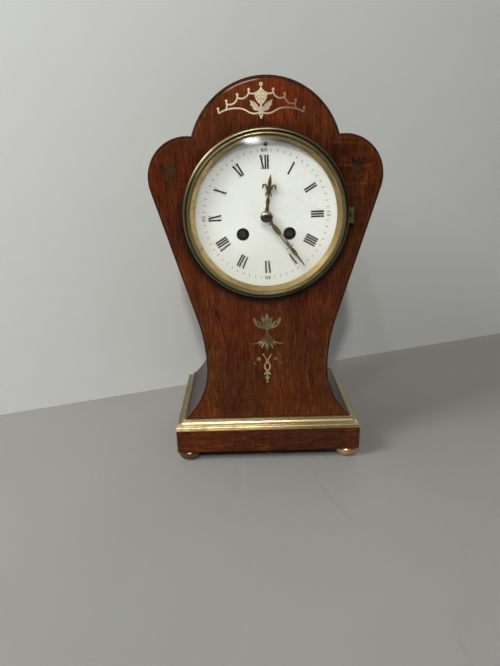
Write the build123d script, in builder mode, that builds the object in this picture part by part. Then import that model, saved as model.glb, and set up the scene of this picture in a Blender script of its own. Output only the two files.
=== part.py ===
from build123d import *
import os
from math import acos, atan2, cos, hypot, pi, radians, sin, sqrt

os.makedirs("parts", exist_ok=True)

# Balloon-shaped mantel clock with a round spring-driven striking movement.
# Sizes are in millimetres. X runs across, Y from front to back, Z up from the surface it stands on.

# Case, as seen from the front
top_radius = 62.0
top_rise = 44.2
lobe_radius = 32.7
lobe_spread = 63.3
lobe_rise = 30.7
waist_half_width = 55.4
waist_height = 94.0
waist_radius = 162.0
foot_half_width = 78.8
body_depth = 112.0
side_thickness = 8.0
board_thickness = 8.0
veneer_thickness = 1.2
banding_width = 2.4
stringing_width = 0.7

# Plinth, brass moulding and feet
plinth_height = 22.6
moulding_height = 8.5
moulding_run = 8.4
moulding_fillet = 1.6
bun_height = 10.0
bun_radius = 10.8
bun_neck_radius = 6.5
bun_sole_radius = 7.0
bun_inset = 10.8

# Dial, bezel and glass
dial_height = 229.3
dial_radius = 60.8
dial_thickness = 1.7
dial_crown = 0.8
dial_recess = 2.2
dial_foot_radius = 1.2
dial_foot_inset = 10.8
winding_hole_radius = 5.35
seat_wall = 1.5
seat_flange = 2.0
seat_flange_width = 6.5
seat_depth = 12.0
movement_opening_radius = 44.0
bezel_overhang = 1.5
bezel_reach = 9.4
bezel_rim = 2.6
bezel_lip = 1.4
bezel_lip_width = 2.0
glass_thickness = 2.0
glass_rise = 8.0
glass_edge = 1.2
sight_lap = 1.8
slip_thickness = 0.8
hinge_offset = 2.6
knuckle_radius = 2.2
knuckle_length = 4.2
hinge_pin_radius = 0.8

# Hands, pointing as clocks do: degrees clockwise from twelve
hand_thickness = 0.8
minute_hand_length = 52.5
minute_hand_angle = 141.8
minute_hand_reach = 6.6
hour_hand_length = 33.8
hour_hand_angle = 6.3
hour_hand_reach = 3.4
boss_radius = 5.2
boss_height = 4.4

# Movement frame
plate_radius = 47.0
plate_thickness = 2.0
plate_gap = 34.0
pillar_radius = 3.0
pillar_spread = 42.5
pillar_angles = (52.0, 128.0, 242.0, 298.0)
winding_spread = 19.65
winding_drop = 14.7
escape_rise = 21.5
anchor_rise = 14.0
pivot_radius = 0.4
arbor_radius = 0.6
wheel_thickness = 1.3
pinion_overhang = 0.9

# Wheels and pinions: numbers of teeth, and modules
addendum = 0.7
dedendum = 1.3
barrel_teeth = 72
barrel_module = 0.5
intermediate_leaves = 12
intermediate_teeth = 64
intermediate_module = 0.45
centre_leaves = 8
centre_teeth = 77
centre_module = 0.34
third_leaves = 7
third_teeth = 70
third_module = 0.32
escape_leaves = 7
escape_teeth = 42
escape_tip_radius = 10.5
escape_tooth_depth = 2.2
second_leaves = 12
second_teeth = 72
second_module = 0.36
pin_leaves = 8
pin_teeth = 56
pin_module = 0.34
lifting_pins = 10
lifting_pin_radius = 0.5
lifting_pin_spread = 8.4
stop_leaves = 7
stop_teeth = 49
stop_module = 0.3
warning_leaves = 7
warning_teeth = 42
warning_module = 0.28
fly_leaves = 7
fly_radius = 5.0
fly_length = 11.0
cannon_leaves = 12
minute_wheel_teeth = 36
cannon_module = 0.5
minute_wheel_leaves = 10
hour_wheel_teeth = 40
ratchet_teeth = 24
ratchet_radius = 7.5
ratchet_depth = 1.2

# Barrels, springs and winding arbors
barrel_wall = 1.3
barrel_length = 20.0
great_wheel_thickness = 2.5
barrel_front_room = 6.0
spring_thickness = 1.0
spring_pitch = 1.6
spring_turns = 5
winding_journal_radius = 2.5
winding_square = 4.2

# Pendulum, crutch and suspension
pendulum_length = 151.0
pendulum_set_back = 12.0
pendulum_rod_radius = 1.1
bob_radius = 21.0
bob_thickness = 11.0
crutch_length = 24.0
cock_thickness = 3.0
cock_stand_off = 5.0
spring_strip = 0.4
regulator_inset = 4.5
regulator_radius = 1.2

# Bell and hammer
bell_radius = 25.0
bell_depth = 20.2
bell_thickness = 1.6
bell_set_back = 20.0
bell_place_across = 13.0
bell_place_drop = 5.0
hammer_place_across = 39.0
hammer_place_rise = 18.0
hammer_head_radius = 3.5

# Back of the case
back_opening_radius = 54.0
back_ring_wall = 1.5
back_flange_radius = 62.0
back_sleeve_depth = 15.0
back_bridge_width = 7.0
door_radius = 58.0
door_thickness = 1.2
door_dome = 2.6
knob_radius = 4.0
knob_height = 6.6
knob_inset = 6.0
strap_thickness = 1.5
strap_width = 12.0
strap_screw_radius = 1.5

# Clearances
running_gap = 0.3
pivot_gap = 0.05
seat_gap = 0.2
board_gap = 0.5

# Depths from front to back, with the whole clock centred on Y
front_reach = bezel_reach - bezel_lip + glass_rise
back_reach = seat_flange + seat_gap + door_thickness + knob_height
body_front = (front_reach - back_reach - body_depth) / 2
veneer_back = body_front + veneer_thickness
front_board_back = veneer_back + board_thickness
body_back = body_front + body_depth
back_board_front = body_back - board_thickness
dial_back = body_front + dial_recess
front_plate_front = body_front + seat_depth
plates_front = front_plate_front + plate_thickness
plates_back = plates_front + plate_gap
back_plate_back = plates_back + plate_thickness
pendulum_y = back_plate_back + pendulum_set_back

# Heights of the case
plinth_bottom = bun_height
body_bottom = plinth_bottom + plinth_height
flare_bottom = body_bottom + moulding_height
top_centre_height = dial_height + top_rise
lobe_height = dial_height + lobe_rise
case_top = top_centre_height + top_radius
plinth_half_width = foot_half_width + moulding_run
plinth_front = body_front - moulding_run
plinth_back = body_back + moulding_run


backwards = (0, 1, 0)


def finish(piece, name):
    """Names a finished piece and writes it."""
    piece.label = name
    export_step(piece, f"parts/{name}.step")


def facing(y):
    """Sketch plane at depth y that looks forwards, with X across and Z up."""
    return Plane.XZ.offset(-y)


def beyond(place, distance, degrees):
    """Point at a distance from a place, at an angle from X towards Z."""
    return (place[0] + distance * cos(radians(degrees)), place[1] + distance * sin(radians(degrees)))


def crossing(first, first_radius, second, second_radius, side):
    """Crossing of two circles, left (1) or right (-1) of the way from the first centre to the second."""
    dx = second[0] - first[0]
    dz = second[1] - first[1]
    gap = hypot(dx, dz)
    along = (gap**2 + first_radius**2 - second_radius**2) / (2 * gap)
    across = side * sqrt(first_radius**2 - along**2)
    return (first[0] + (dx * along - dz * across) / gap, first[1] + (dz * along + dx * across) / gap)


def arc(start, end, centre, radius):
    """Arc of less than half a turn between two points, about a centre."""
    out = ((start[0] + end[0]) / 2 - centre[0], (start[1] + end[1]) / 2 - centre[1])
    scale = radius / hypot(*out)
    ThreePointArc(start, (centre[0] + out[0] * scale, centre[1] + out[1] * scale), end)


def rod(place, radius, y_from, y_to, mode=Mode.ADD):
    """Round bar along Y."""
    with BuildSketch(facing(y_from)) as section:
        with Locations(place):
            Circle(radius)
    extrude(section.sketch, amount=y_to - y_from, dir=backwards, mode=mode)


def block(x_from, x_to, y_from, y_to, z_from, z_to, mode=Mode.ADD):
    """Square-edged bar between limits."""
    with BuildSketch(facing(y_from)) as section:
        with Locations(((x_from + x_to) / 2, (z_from + z_to) / 2)):
            Rectangle(x_to - x_from, z_to - z_from)
    extrude(section.sketch, amount=y_to - y_from, dir=backwards, mode=mode)


# Outline of the case: a round top, two shoulder lobes, straight flanks, a waist and a flared foot
flare_run = foot_half_width - waist_half_width
flare_fall = waist_height - flare_bottom
flare_radius = (flare_run**2 + flare_fall**2) / (2 * flare_run)
top_centre = (0, top_centre_height)
lobe_centre = (lobe_spread, lobe_height)
waist_centre = (waist_half_width + waist_radius, waist_height)
flare_centre = (waist_half_width + flare_radius, waist_height)
flank_lean = atan2(waist_centre[1] - lobe_centre[1], waist_centre[0] - lobe_centre[0]) + acos(
    (lobe_radius + waist_radius) / hypot(waist_centre[0] - lobe_centre[0], waist_centre[1] - lobe_centre[1])
)


def notch(inset):
    """Corner between the round top and the shoulder lobe."""
    return crossing(top_centre, top_radius - inset, lobe_centre, lobe_radius - inset, 1)


def flank_ends(inset):
    """Upper and lower end of the straight flank."""
    lean = (cos(flank_lean), sin(flank_lean))
    lobe = lobe_radius - inset
    waist = waist_radius + inset
    upper = (lobe_centre[0] + lobe * lean[0], lobe_centre[1] + lobe * lean[1])
    lower = (waist_centre[0] - waist * lean[0], waist_centre[1] - waist * lean[1])
    return upper, lower


def flare_end(inset, height):
    """Point of the flared foot at a height."""
    return (flare_centre[0] - sqrt((flare_radius + inset) ** 2 - (waist_height - height) ** 2), height)


def flank_line(inset, bottom):
    """Right edge of the case, from the notch down to a height."""
    upper, lower = flank_ends(inset)
    waist = (waist_half_width - inset, waist_height)
    end = flare_end(inset, max(bottom, flare_bottom))
    arc(notch(inset), upper, lobe_centre, lobe_radius - inset)
    Line(upper, lower)
    arc(lower, waist, waist_centre, waist_radius + inset)
    arc(waist, end, flare_centre, flare_radius + inset)
    if bottom < flare_bottom:
        Line(end, (end[0], bottom))


def case_face(inset, bottom, mode=Mode.ADD):
    """Whole front outline, drawn in from the edge of the case and ended at a height."""
    with BuildLine() as edge:
        arc((0, case_top - inset), notch(inset), top_centre, top_radius - inset)
        flank_line(inset, bottom)
        Line((flare_end(inset, max(bottom, flare_bottom))[0], bottom), (0, bottom))
        mirror(about=Plane.YZ)
    make_face(edge.edges(), mode=mode)


# Carcase: front and back boards, two shaped sides, the bent top and the floor
opening_radius = dial_radius + seat_gap + seat_wall + board_gap

with BuildPart() as front_board:
    with BuildSketch(facing(veneer_back)):
        case_face(0, body_bottom)
        with Locations((0, dial_height)):
            Circle(opening_radius, mode=Mode.SUBTRACT)
    extrude(amount=-board_thickness)
finish(front_board.part, "front_board")

with BuildPart() as back_board:
    with BuildSketch(facing(back_board_front)):
        case_face(0, body_bottom)
        with Locations((0, dial_height)):
            Circle(back_opening_radius + back_ring_wall + board_gap, mode=Mode.SUBTRACT)
    extrude(amount=-board_thickness)
finish(back_board.part, "back_board")

with BuildPart() as right_side:
    with BuildSketch(facing(front_board_back)):
        with BuildLine():
            flank_line(0, body_bottom)
            flank_line(side_thickness, body_bottom)
            Line(notch(0), notch(side_thickness))
            Line((foot_half_width, body_bottom), (flare_end(side_thickness, flare_bottom)[0], body_bottom))
        make_face()
    extrude(amount=front_board_back - back_board_front)
finish(right_side.part, "right_side")

with BuildPart() as left_side:
    mirror(right_side.part, about=Plane.YZ)
finish(left_side.part, "left_side")

with BuildPart() as top_arch:
    with BuildSketch(facing(front_board_back)):
        with BuildLine():
            arc((0, case_top), notch(0), top_centre, top_radius)
            Line(notch(0), notch(side_thickness))
            arc(
                notch(side_thickness),
                (0, case_top - side_thickness),
                top_centre,
                top_radius - side_thickness,
            )
            mirror(about=Plane.YZ)
        make_face()
    extrude(amount=front_board_back - back_board_front)
finish(top_arch.part, "top_arch")

with BuildPart() as floor_board:
    with BuildSketch(facing(front_board_back)):
        case_face(side_thickness, body_bottom)
        with Locations((0, body_bottom + board_thickness / 2)):
            Rectangle(2 * foot_half_width, board_thickness, mode=Mode.INTERSECT)
    extrude(amount=front_board_back - back_board_front)
finish(floor_board.part, "floor_board")


# Brass inlays of the front, let into the veneer through its whole thickness
def leaf(base, tip, width):
    """Pointed leaf between two points."""
    run = (tip[0] - base[0], tip[1] - base[1])
    length = hypot(*run)
    middle = ((base[0] + tip[0]) / 2, (base[1] + tip[1]) / 2)
    half = (-run[1] / length * width / 2, run[0] / length * width / 2)
    with BuildLine() as edge:
        ThreePointArc(base, (middle[0] + half[0], middle[1] + half[1]), tip)
        ThreePointArc(tip, (middle[0] - half[0], middle[1] - half[1]), base)
    make_face(edge.edges())


def dot(place, radius):
    """Round spot."""
    with Locations(place):
        Circle(radius)


# Crest places: across from its own middle, which is laid a little to the left, and down from the top
crest_shift = -3.3
crest_line = 1.15
crest_bead = 1.0
crest_finial = (0, 6.4)
crest_neck = ((0, 6.8), (1.2, 10.0), (4.9, 12.2))
crest_shield = ((4.9, 12.2), (4.2, 16.8), (0, 21.2))
crest_shoulder = (4.3, 12.6)
crest_joints = ((9.5, 12.2), (18.4, 15.6), (27.0, 20.0))
crest_bead_rise = 2.1
crest_last_swag = ((27.0, 20.0), (26.7, 22.6), (28.4, 24.6))
crest_upper_line = ((33.3, 26.8), (26.2, 24.0), (18.6, 23.3))
crest_middle_line = ((18.6, 23.3), (14.4, 23.9), (10.8, 25.5))
crest_lower_line = ((10.8, 25.5), (6.4, 27.2), (0.6, 26.4))
crest_end_bead = (33.6, 23.4)
crest_foot = (0, 28.2)
crest_drop = (0, 30.2)
crest_leaves = (
    ((0.2, 26.4), (8.9, 17.5), 3.6),
    ((3.2, 23.0), (8.7, 20.6), 1.9),
    ((1.4, 25.0), (6.9, 23.4), 1.9),
)


def crest_place(side, spot):
    """Place on the front of a spot in the crest."""
    return (crest_shift + side * spot[0], case_top - spot[1])


def crest_stroke(side, *spots):
    """Drawn line of the crest, straight between two spots or bent through three."""
    places = [crest_place(side, spot) for spot in spots]
    with BuildLine() as stroke:
        if len(places) == 2:
            Line(*places)
        else:
            ThreePointArc(*places)
    trace(stroke.edges(), line_width=crest_line)


def crest_shape():
    """Crest under the round top: a shield, stepped swags with beads, leaves, and a double-curved line below."""
    with BuildLine() as shield:
        ThreePointArc(*(crest_place(1, spot) for spot in crest_neck))
        ThreePointArc(*(crest_place(1, spot) for spot in crest_shield))
        mirror(about=Plane.YZ.offset(crest_shift))
    make_face(shield.edges())
    leaf(crest_place(1, (0, 19.6)), crest_place(1, crest_foot), 2.4)
    dot(crest_place(1, crest_finial), 1.4)
    dot(crest_place(1, crest_foot), 1.6)
    dot(crest_place(1, crest_drop), 0.9)
    for side in (1, -1):
        first = crest_joints[0]
        crest_stroke(side, crest_shoulder, ((crest_shoulder[0] + first[0]) / 2, first[1] + 1.0), first)
        for (x_from, drop_from), (x_to, drop_to) in zip(crest_joints, crest_joints[1:]):
            sag = ((x_from + x_to) / 2 - 1.7, (drop_from + drop_to) / 2 + 1.8)
            crest_stroke(side, (x_from, drop_from), sag, (x_to, drop_to))
        crest_stroke(side, *crest_last_swag)
        crest_stroke(side, *crest_upper_line)
        crest_stroke(side, *crest_middle_line)
        crest_stroke(side, *crest_lower_line)
        for across, drop in crest_joints:
            crest_stroke(side, (across, drop), (across, drop - crest_bead_rise))
            dot(crest_place(side, (across, drop - crest_bead_rise)), crest_bead)
        crest_stroke(side, crest_upper_line[0], crest_end_bead)
        dot(crest_place(side, crest_end_bead), crest_bead)
        for base, tip, width in crest_leaves:
            leaf(crest_place(side, base), crest_place(side, tip), width)


# Spray places: across from the spray's own stem, which stands off the centre of its shoulder lobe, and
# up from the height of the lobe
spray_stand = {1: 9.8, -1: 13.8}
spray_stem = ((0, -22.4), (0.4, -8.0), (0, 6.0))
spray_leaves = (
    ((0.2, -2.0), (6.4, 1.8), 2.0),
    ((0, -5.0), (-2.9, 1.0), 1.7),
    ((0.2, 2.4), (7.2, 12.6), 2.8),
    ((0, 3.6), (2.6, 15.4), 3.0),
    ((0, 4.0), (-3.7, 17.6), 2.7),
    ((0, 1.4), (-4.8, 9.0), 2.1),
)


def spray_place(side, spot):
    """Place on the front of a spot in a spray."""
    return (side * (lobe_spread + spray_stand[side] + spot[0]), lobe_height + spot[1])


def spray_shape(side):
    """Leafy spray on a shoulder lobe."""
    with BuildLine() as stem:
        ThreePointArc(*(spray_place(side, spot) for spot in spray_stem))
    trace(stem.edges(), line_width=0.9)
    for base, tip, width in spray_leaves:
        leaf(spray_place(side, base), spray_place(side, tip), width)


# Pendant leaves: base, tip and width, across from the middle and up from the waist
pendant_line = 0.8
pendant_ring_rise = -0.2
pendant_middle_leaves = (
    ((0, 37.0), (0, 50.9), 4.4),
    ((0, 34.6), (0, 14.8), 3.8),
    ((0, -4.2), (0, -9.8), 2.5),
    ((0, -9.2), (0, -14.6), 2.1),
)
pendant_side_leaves = (
    ((0, 36.6), (4.9, 48.0), 2.9),
    ((0.4, 36.4), (8.8, 44.2), 2.4),
    ((0.2, 36.2), (10.2, 39.8), 2.4),
    ((8.6, 38.8), (12.4, 47.0), 2.6),
    ((12.2, 46.2), (9.6, 44.8), 1.2),
    ((0, 33.4), (5.2, 17.4), 3.2),
    ((0.4, 31.6), (7.7, 20.2), 2.3),
    ((0.2, -5.0), (3.1, -8.8), 1.7),
    ((0.1, -9.6), (2.0, -12.2), 1.1),
)
pendant_tendril_top = ((1.6, 28.4), (7.6, 23.9), (15.8, 22.2))
pendant_tendril_under = ((15.8, 22.2), (7.7, 22.7), (1.6, 28.4))
pendant_tie = ((4.4, 12.4), (2.4, 9.4), (0.2, 5.4))


def pendant_place(across, rise):
    """Place on the front of a spot in the pendant, up from the waist."""
    return (across, waist_height + rise)


def pendant_shape():
    """Pendant on the waist: a palmette, a bell flower with tendrils, a tied oval ring and drops."""
    with Locations(pendant_place(0, pendant_ring_rise)):
        Ellipse(3.1, 4.5)
        Ellipse(1.8, 3.1, mode=Mode.SUBTRACT)
    for base, tip, width in pendant_middle_leaves:
        leaf(pendant_place(*base), pendant_place(*tip), width)
    dot(pendant_place(0, 35.4), 1.4)
    dot(pendant_place(0, 5.6), 1.5)
    dot(pendant_place(0, -15.6), 0.9)
    for side in (1, -1):
        for (base_across, base_rise), (tip_across, tip_rise), width in pendant_side_leaves:
            leaf(pendant_place(side * base_across, base_rise), pendant_place(side * tip_across, tip_rise), width)
        with BuildLine() as tendril:
            ThreePointArc(*(pendant_place(side * across, rise) for across, rise in pendant_tendril_top))
            ThreePointArc(*(pendant_place(side * across, rise) for across, rise in pendant_tendril_under))
        make_face(tendril.edges())
        with BuildLine() as scroll:
            ThreePointArc(*(pendant_place(side * across, rise) for across, rise in pendant_tie))
        trace(scroll.edges(), line_width=pendant_line)
        dot(pendant_place(side * 8.0, 7.2), 1.7)
        dot(pendant_place(side * 11.8, 2.8), 0.95)


with BuildPart() as edge_banding:
    with BuildSketch(facing(body_front)):
        case_face(0, body_bottom)
        case_face(banding_width, flare_bottom + banding_width, mode=Mode.SUBTRACT)
    extrude(amount=-veneer_thickness)
finish(edge_banding.part, "edge_banding")

stringing_inset = banding_width + stringing_width

with BuildPart() as edge_stringing:
    with BuildSketch(facing(body_front)):
        case_face(banding_width, flare_bottom + banding_width)
        case_face(stringing_inset, flare_bottom + stringing_inset, mode=Mode.SUBTRACT)
    extrude(amount=-veneer_thickness)
finish(edge_stringing.part, "edge_stringing")

with BuildPart() as crest_inlay:
    with BuildSketch(facing(body_front)):
        crest_shape()
    extrude(amount=-veneer_thickness)
finish(crest_inlay.part, "crest_inlay")

with BuildPart() as shoulder_inlays:
    with BuildSketch(facing(body_front)):
        spray_shape(1)
        spray_shape(-1)
    extrude(amount=-veneer_thickness)
finish(shoulder_inlays.part, "shoulder_inlays")

with BuildPart() as pendant_inlay:
    with BuildSketch(facing(body_front)):
        pendant_shape()
    extrude(amount=-veneer_thickness)
finish(pendant_inlay.part, "pendant_inlay")

with BuildPart() as front_veneer:
    with BuildSketch(facing(body_front)):
        case_face(stringing_inset, flare_bottom + stringing_inset)
        with Locations((0, dial_height)):
            Circle(opening_radius, mode=Mode.SUBTRACT)
    extrude(amount=-veneer_thickness)
    add(crest_inlay.part, mode=Mode.SUBTRACT)
    add(shoulder_inlays.part, mode=Mode.SUBTRACT)
    add(pendant_inlay.part, mode=Mode.SUBTRACT)
finish(front_veneer.part, "front_veneer")

# Plinth, with the brass moulding mitred round its top edge and four bun feet below
plinth_half_depth = (plinth_back - plinth_front) / 2
plinth_middle = (plinth_back + plinth_front) / 2

with BuildPart() as plinth:
    with BuildSketch(Plane.XY.offset(plinth_bottom)):
        with Locations((0, plinth_middle)):
            Rectangle(2 * plinth_half_width, 2 * plinth_half_depth)
    extrude(amount=plinth_height)
    fillet(plinth.edges().filter_by(Axis.Z), radius=1.5)
finish(plinth.part, "plinth")


def moulding_length(outward, half_length, distance):
    """One length of the moulding, mitred at both ends."""
    out = Vector(*outward)
    way = out.cross(Vector(0, 0, 1))
    middle = Vector(0, plinth_middle, body_bottom)
    crown = moulding_height - moulding_fillet
    lip = moulding_fillet * 0.6
    bead_top = moulding_height * 0.4
    with BuildPart() as length:
        with BuildSketch(Plane(origin=middle + out * distance, x_dir=out, z_dir=way)):
            with BuildLine():
                Polyline((0, 0), (0, lip), (-lip, lip))
                ThreePointArc((-lip, lip), (-lip / 2, bead_top * 0.66), (-lip * 1.8, bead_top))
                Line((-lip * 1.8, bead_top), (-lip * 2.6, bead_top))
                ThreePointArc(
                    (-lip * 2.6, bead_top),
                    (-moulding_run * 0.64, bead_top + moulding_height * 0.13),
                    (-moulding_run + moulding_fillet, crown),
                )
                Polyline(
                    (-moulding_run + moulding_fillet, crown),
                    (-moulding_run + moulding_fillet, moulding_height),
                    (-moulding_run, moulding_height),
                    (-moulding_run, 0),
                    (0, 0),
                )
            make_face()
        extrude(amount=half_length, both=True)
        for end in (1, -1):
            corner = middle + out * distance + way * (end * half_length)
            split(bisect_by=Plane(origin=corner, z_dir=way * end - out), keep=Keep.BOTTOM)
    return length.part


front_moulding = moulding_length((0, -1, 0), plinth_half_width, plinth_half_depth)
back_moulding = moulding_length((0, 1, 0), plinth_half_width, plinth_half_depth)
right_moulding = moulding_length((1, 0, 0), plinth_half_depth, plinth_half_width)
left_moulding = moulding_length((-1, 0, 0), plinth_half_depth, plinth_half_width)

with BuildPart() as plinth_moulding:
    add(front_moulding)
    add(back_moulding)
    add(right_moulding)
    add(left_moulding)
finish(plinth_moulding.part, "plinth_moulding")

with BuildPart() as bun_feet:
    for x in (plinth_half_width - bun_inset, bun_inset - plinth_half_width):
        for y in (plinth_front + bun_inset, plinth_back - bun_inset):
            with BuildSketch(Plane(origin=(x, y, 0), x_dir=(1, 0, 0), z_dir=(0, -1, 0))):
                with BuildLine():
                    Polyline((bun_neck_radius, bun_height), (0, bun_height), (0, 0), (bun_sole_radius, 0))
                    ThreePointArc(
                        (bun_sole_radius, 0), (bun_radius, bun_height * 0.48), (bun_neck_radius, bun_height)
                    )
                make_face()
            revolve(axis=Axis((x, y, 0), (0, 0, 1)))
finish(bun_feet.part, "bun_feet")

# Seat ring: the brass ring in the front board that carries the dial, the movement and the bezel's hinge
turning_plane = Plane.XY.offset(dial_height)
dial_axis = Axis((0, 0, dial_height), (0, 1, 0))
centre = (0, dial_height)
seat_radius = dial_radius + seat_gap
bezel_radius = seat_radius + seat_flange_width + bezel_overhang
sight_radius = dial_radius - sight_lap
seat_front = body_front - seat_flange
ledge_radius = seat_radius - 2.5
ledge_back = dial_back + 1.8
hinge_x = bezel_radius + hinge_offset
hinge_y = body_front - 3.2
regulator_place = (0, dial_height + dial_radius - regulator_inset)


def knuckle(x, y, z_from, z_to, bore):
    """Barrel of a hinge round an upright pin."""
    for radius, mode in ((knuckle_radius, Mode.ADD), (bore, Mode.SUBTRACT)):
        with BuildSketch(Plane.XY.offset(z_from)) as section:
            with Locations((x, y)):
                Circle(radius)
        extrude(section.sketch, amount=z_to - z_from, mode=mode)


middle_low = dial_height - knuckle_length / 2
middle_high = dial_height + knuckle_length / 2
outer_spans = (
    (middle_low - seat_gap - knuckle_length, middle_low - seat_gap),
    (middle_high + seat_gap, middle_high + seat_gap + knuckle_length),
)

with BuildPart() as seat_ring:
    with BuildSketch(turning_plane):
        with BuildLine():
            Polyline(
                (seat_radius + seat_flange_width, seat_front),
                (seat_radius + seat_flange_width, body_front),
                (seat_radius + seat_wall, body_front),
                (seat_radius + seat_wall, front_plate_front),
                (movement_opening_radius, front_plate_front),
                (movement_opening_radius, front_plate_front - seat_flange),
                (seat_radius, front_plate_front - seat_flange),
                (seat_radius, ledge_back),
                (ledge_radius, ledge_back),
                (ledge_radius, dial_back),
                (seat_radius, dial_back),
                (seat_radius, seat_front),
                close=True,
            )
        make_face()
    revolve(axis=dial_axis)
    block(seat_radius + 4, hinge_x, seat_front, body_front - seat_gap, middle_low, middle_high)
    knuckle(hinge_x, hinge_y, middle_low, middle_high, hinge_pin_radius + pivot_gap)
    rod(regulator_place, regulator_radius + pivot_gap, front_plate_front - 4, front_plate_front, Mode.SUBTRACT)
finish(seat_ring.part, "seat_ring")

# Hinged bezel with its convex glass and the gilt slip that holds the glass from behind
bezel_front = body_front - bezel_reach
bezel_back = seat_front - seat_gap
lip_back = bezel_front + bezel_lip
glass_radius = sight_radius + 5.4
bezel_bore = glass_radius + seat_gap
lip_radius = bezel_bore - 1.2
glass_back = lip_back + glass_thickness

with BuildPart() as bezel:
    with BuildSketch(turning_plane):
        with BuildLine():
            rim_edge = (bezel_radius, bezel_back - bezel_rim)
            rim_top = (bezel_radius - 1.2, bezel_back - bezel_rim - seat_flange / 2)
            lip_edge = (lip_radius + bezel_lip_width, bezel_front)
            Polyline(rim_top, rim_edge, (bezel_radius, bezel_back), (bezel_bore, bezel_back), (bezel_bore, lip_back))
            Polyline((bezel_bore, lip_back), (lip_radius, lip_back), (lip_radius, bezel_front), lip_edge)
            TangentArc(rim_top, lip_edge, tangent=(-1, -0.5))
        make_face()
    revolve(axis=dial_axis)
    for z_from, z_to in outer_spans:
        block(bezel_radius - 1.5, hinge_x, bezel_back - bezel_rim, bezel_back - bezel_rim / 2, z_from, z_to)
        knuckle(hinge_x, hinge_y, z_from, z_to, hinge_pin_radius + pivot_gap)
finish(bezel.part, "bezel")

with BuildPart() as bezel_glass:
    with BuildSketch(turning_plane):
        with BuildLine():
            dome_edge = glass_radius - glass_edge
            TangentArc((0, lip_back - glass_rise), (dome_edge, lip_back), tangent=(1, 0))
            Polyline((dome_edge, lip_back), (glass_radius, lip_back), (glass_radius, glass_back))
            Line((glass_radius, glass_back), (dome_edge, glass_back))
            TangentArc((0, glass_back - glass_rise), (dome_edge, glass_back), tangent=(1, 0))
            Line((0, glass_back - glass_rise), (0, lip_back - glass_rise))
        make_face()
    revolve(axis=dial_axis)
finish(bezel_glass.part, "bezel_glass")

slip_back = dial_back - dial_thickness - 2 * dial_crown + running_gap
slip_flange_back = glass_back + 1.0

with BuildPart() as glass_slip:
    with BuildSketch(turning_plane):
        with BuildLine():
            Polyline(
                (glass_radius, glass_back),
                (glass_radius, slip_flange_back),
                (glass_radius - 1.4, slip_flange_back),
                (sight_radius + slip_thickness, slip_back),
                (sight_radius, slip_back),
                (glass_radius - 2, glass_back),
                close=True,
            )
        make_face()
    revolve(axis=dial_axis)
finish(glass_slip.part, "glass_slip")

# Enamel dial with its holes and its three copper feet
winding_places = ((winding_spread, dial_height - winding_drop), (-winding_spread, dial_height - winding_drop))
dial_edge_front = dial_back - dial_thickness

with BuildPart() as dial:
    with BuildSketch(turning_plane):
        with BuildLine():
            TangentArc((0, dial_edge_front - dial_crown), (dial_radius, dial_edge_front), tangent=(1, 0))
            Polyline((dial_radius, dial_edge_front), (dial_radius, dial_back), (0, dial_back))
            Line((0, dial_back), (0, dial_edge_front - dial_crown))
        make_face()
    revolve(axis=dial_axis)
    for angle in (30, 150, 270):
        rod(beyond(centre, dial_radius - dial_foot_inset, angle), dial_foot_radius, dial_back, front_plate_front - seat_flange)
    for place in winding_places:
        rod(place, winding_hole_radius, dial_edge_front - 2 * dial_crown, dial_back, Mode.SUBTRACT)
    rod(centre, 3.6, dial_edge_front - 2 * dial_crown, dial_back, Mode.SUBTRACT)
    rod(regulator_place, 1.75, dial_edge_front - 2 * dial_crown, dial_back, Mode.SUBTRACT)
finish(dial.part, "dial")


# Places of the arbors, worked out from the wheels in mesh
def pitch_radius(teeth, module):
    """Radius of the pitch circle."""
    return teeth * module / 2


def mesh_distance(first, second, module):
    """Distance between the arbors of a wheel and a pinion in mesh."""
    return pitch_radius(first + second, module)


going_place, strike_place = winding_places
intermediate_place = crossing(
    centre,
    mesh_distance(intermediate_teeth, centre_leaves, intermediate_module),
    going_place,
    mesh_distance(barrel_teeth, intermediate_leaves, barrel_module),
    1,
)
escape_place = (0, dial_height + escape_rise)
third_place = crossing(
    centre,
    mesh_distance(centre_teeth, third_leaves, centre_module),
    escape_place,
    mesh_distance(third_teeth, escape_leaves, third_module),
    1,
)
anchor_place = (0, escape_place[1] + anchor_rise)
second_place = beyond(strike_place, mesh_distance(barrel_teeth, second_leaves, barrel_module), 110)
pin_place = beyond(second_place, mesh_distance(second_teeth, pin_leaves, second_module), 79)
stop_place = beyond(pin_place, mesh_distance(pin_teeth, stop_leaves, pin_module), 46)
warning_place = beyond(stop_place, mesh_distance(stop_teeth, warning_leaves, stop_module), 60)
fly_place = beyond(warning_place, mesh_distance(warning_teeth, fly_leaves, warning_module), 143)
hammer_place = (-hammer_place_across, dial_height + hammer_place_rise)
minute_wheel_place = beyond(centre, mesh_distance(cannon_leaves, minute_wheel_teeth, cannon_module), 60)
hour_module = cannon_module * (cannon_leaves + minute_wheel_teeth) / (minute_wheel_leaves + hour_wheel_teeth)
pillar_places = [beyond(centre, pillar_spread, angle) for angle in pillar_angles]

# Depths of the wheels between the plates
barrel_front = plates_front + barrel_front_room
barrel_back = barrel_front + barrel_length
great_wheel_front = barrel_back - great_wheel_thickness
intermediate_level = barrel_back + 2.4
centre_level = plates_front + 2.0
third_level = plates_front + 12.0
escape_level = plates_front + 22.0
pin_level = plates_front + 19.0
stop_level = plates_front + 8.0
warning_level = plates_front + 15.0


def star(place, teeth, tip_radius, root_radius, turn, lean=0.5):
    """Toothed outline: points on the tip circle and, a part of a pitch further, on the root circle."""
    points = []
    for tooth in range(teeth):
        for radius, share in ((tip_radius, 0), (root_radius, lean)):
            angle = turn + 2 * pi * (tooth + share) / teeth
            points.append((place[0] + radius * sin(angle), place[1] + radius * cos(angle)))
    with BuildLine() as edge:
        Polyline(*points, close=True)
    make_face(edge.edges())


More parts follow.
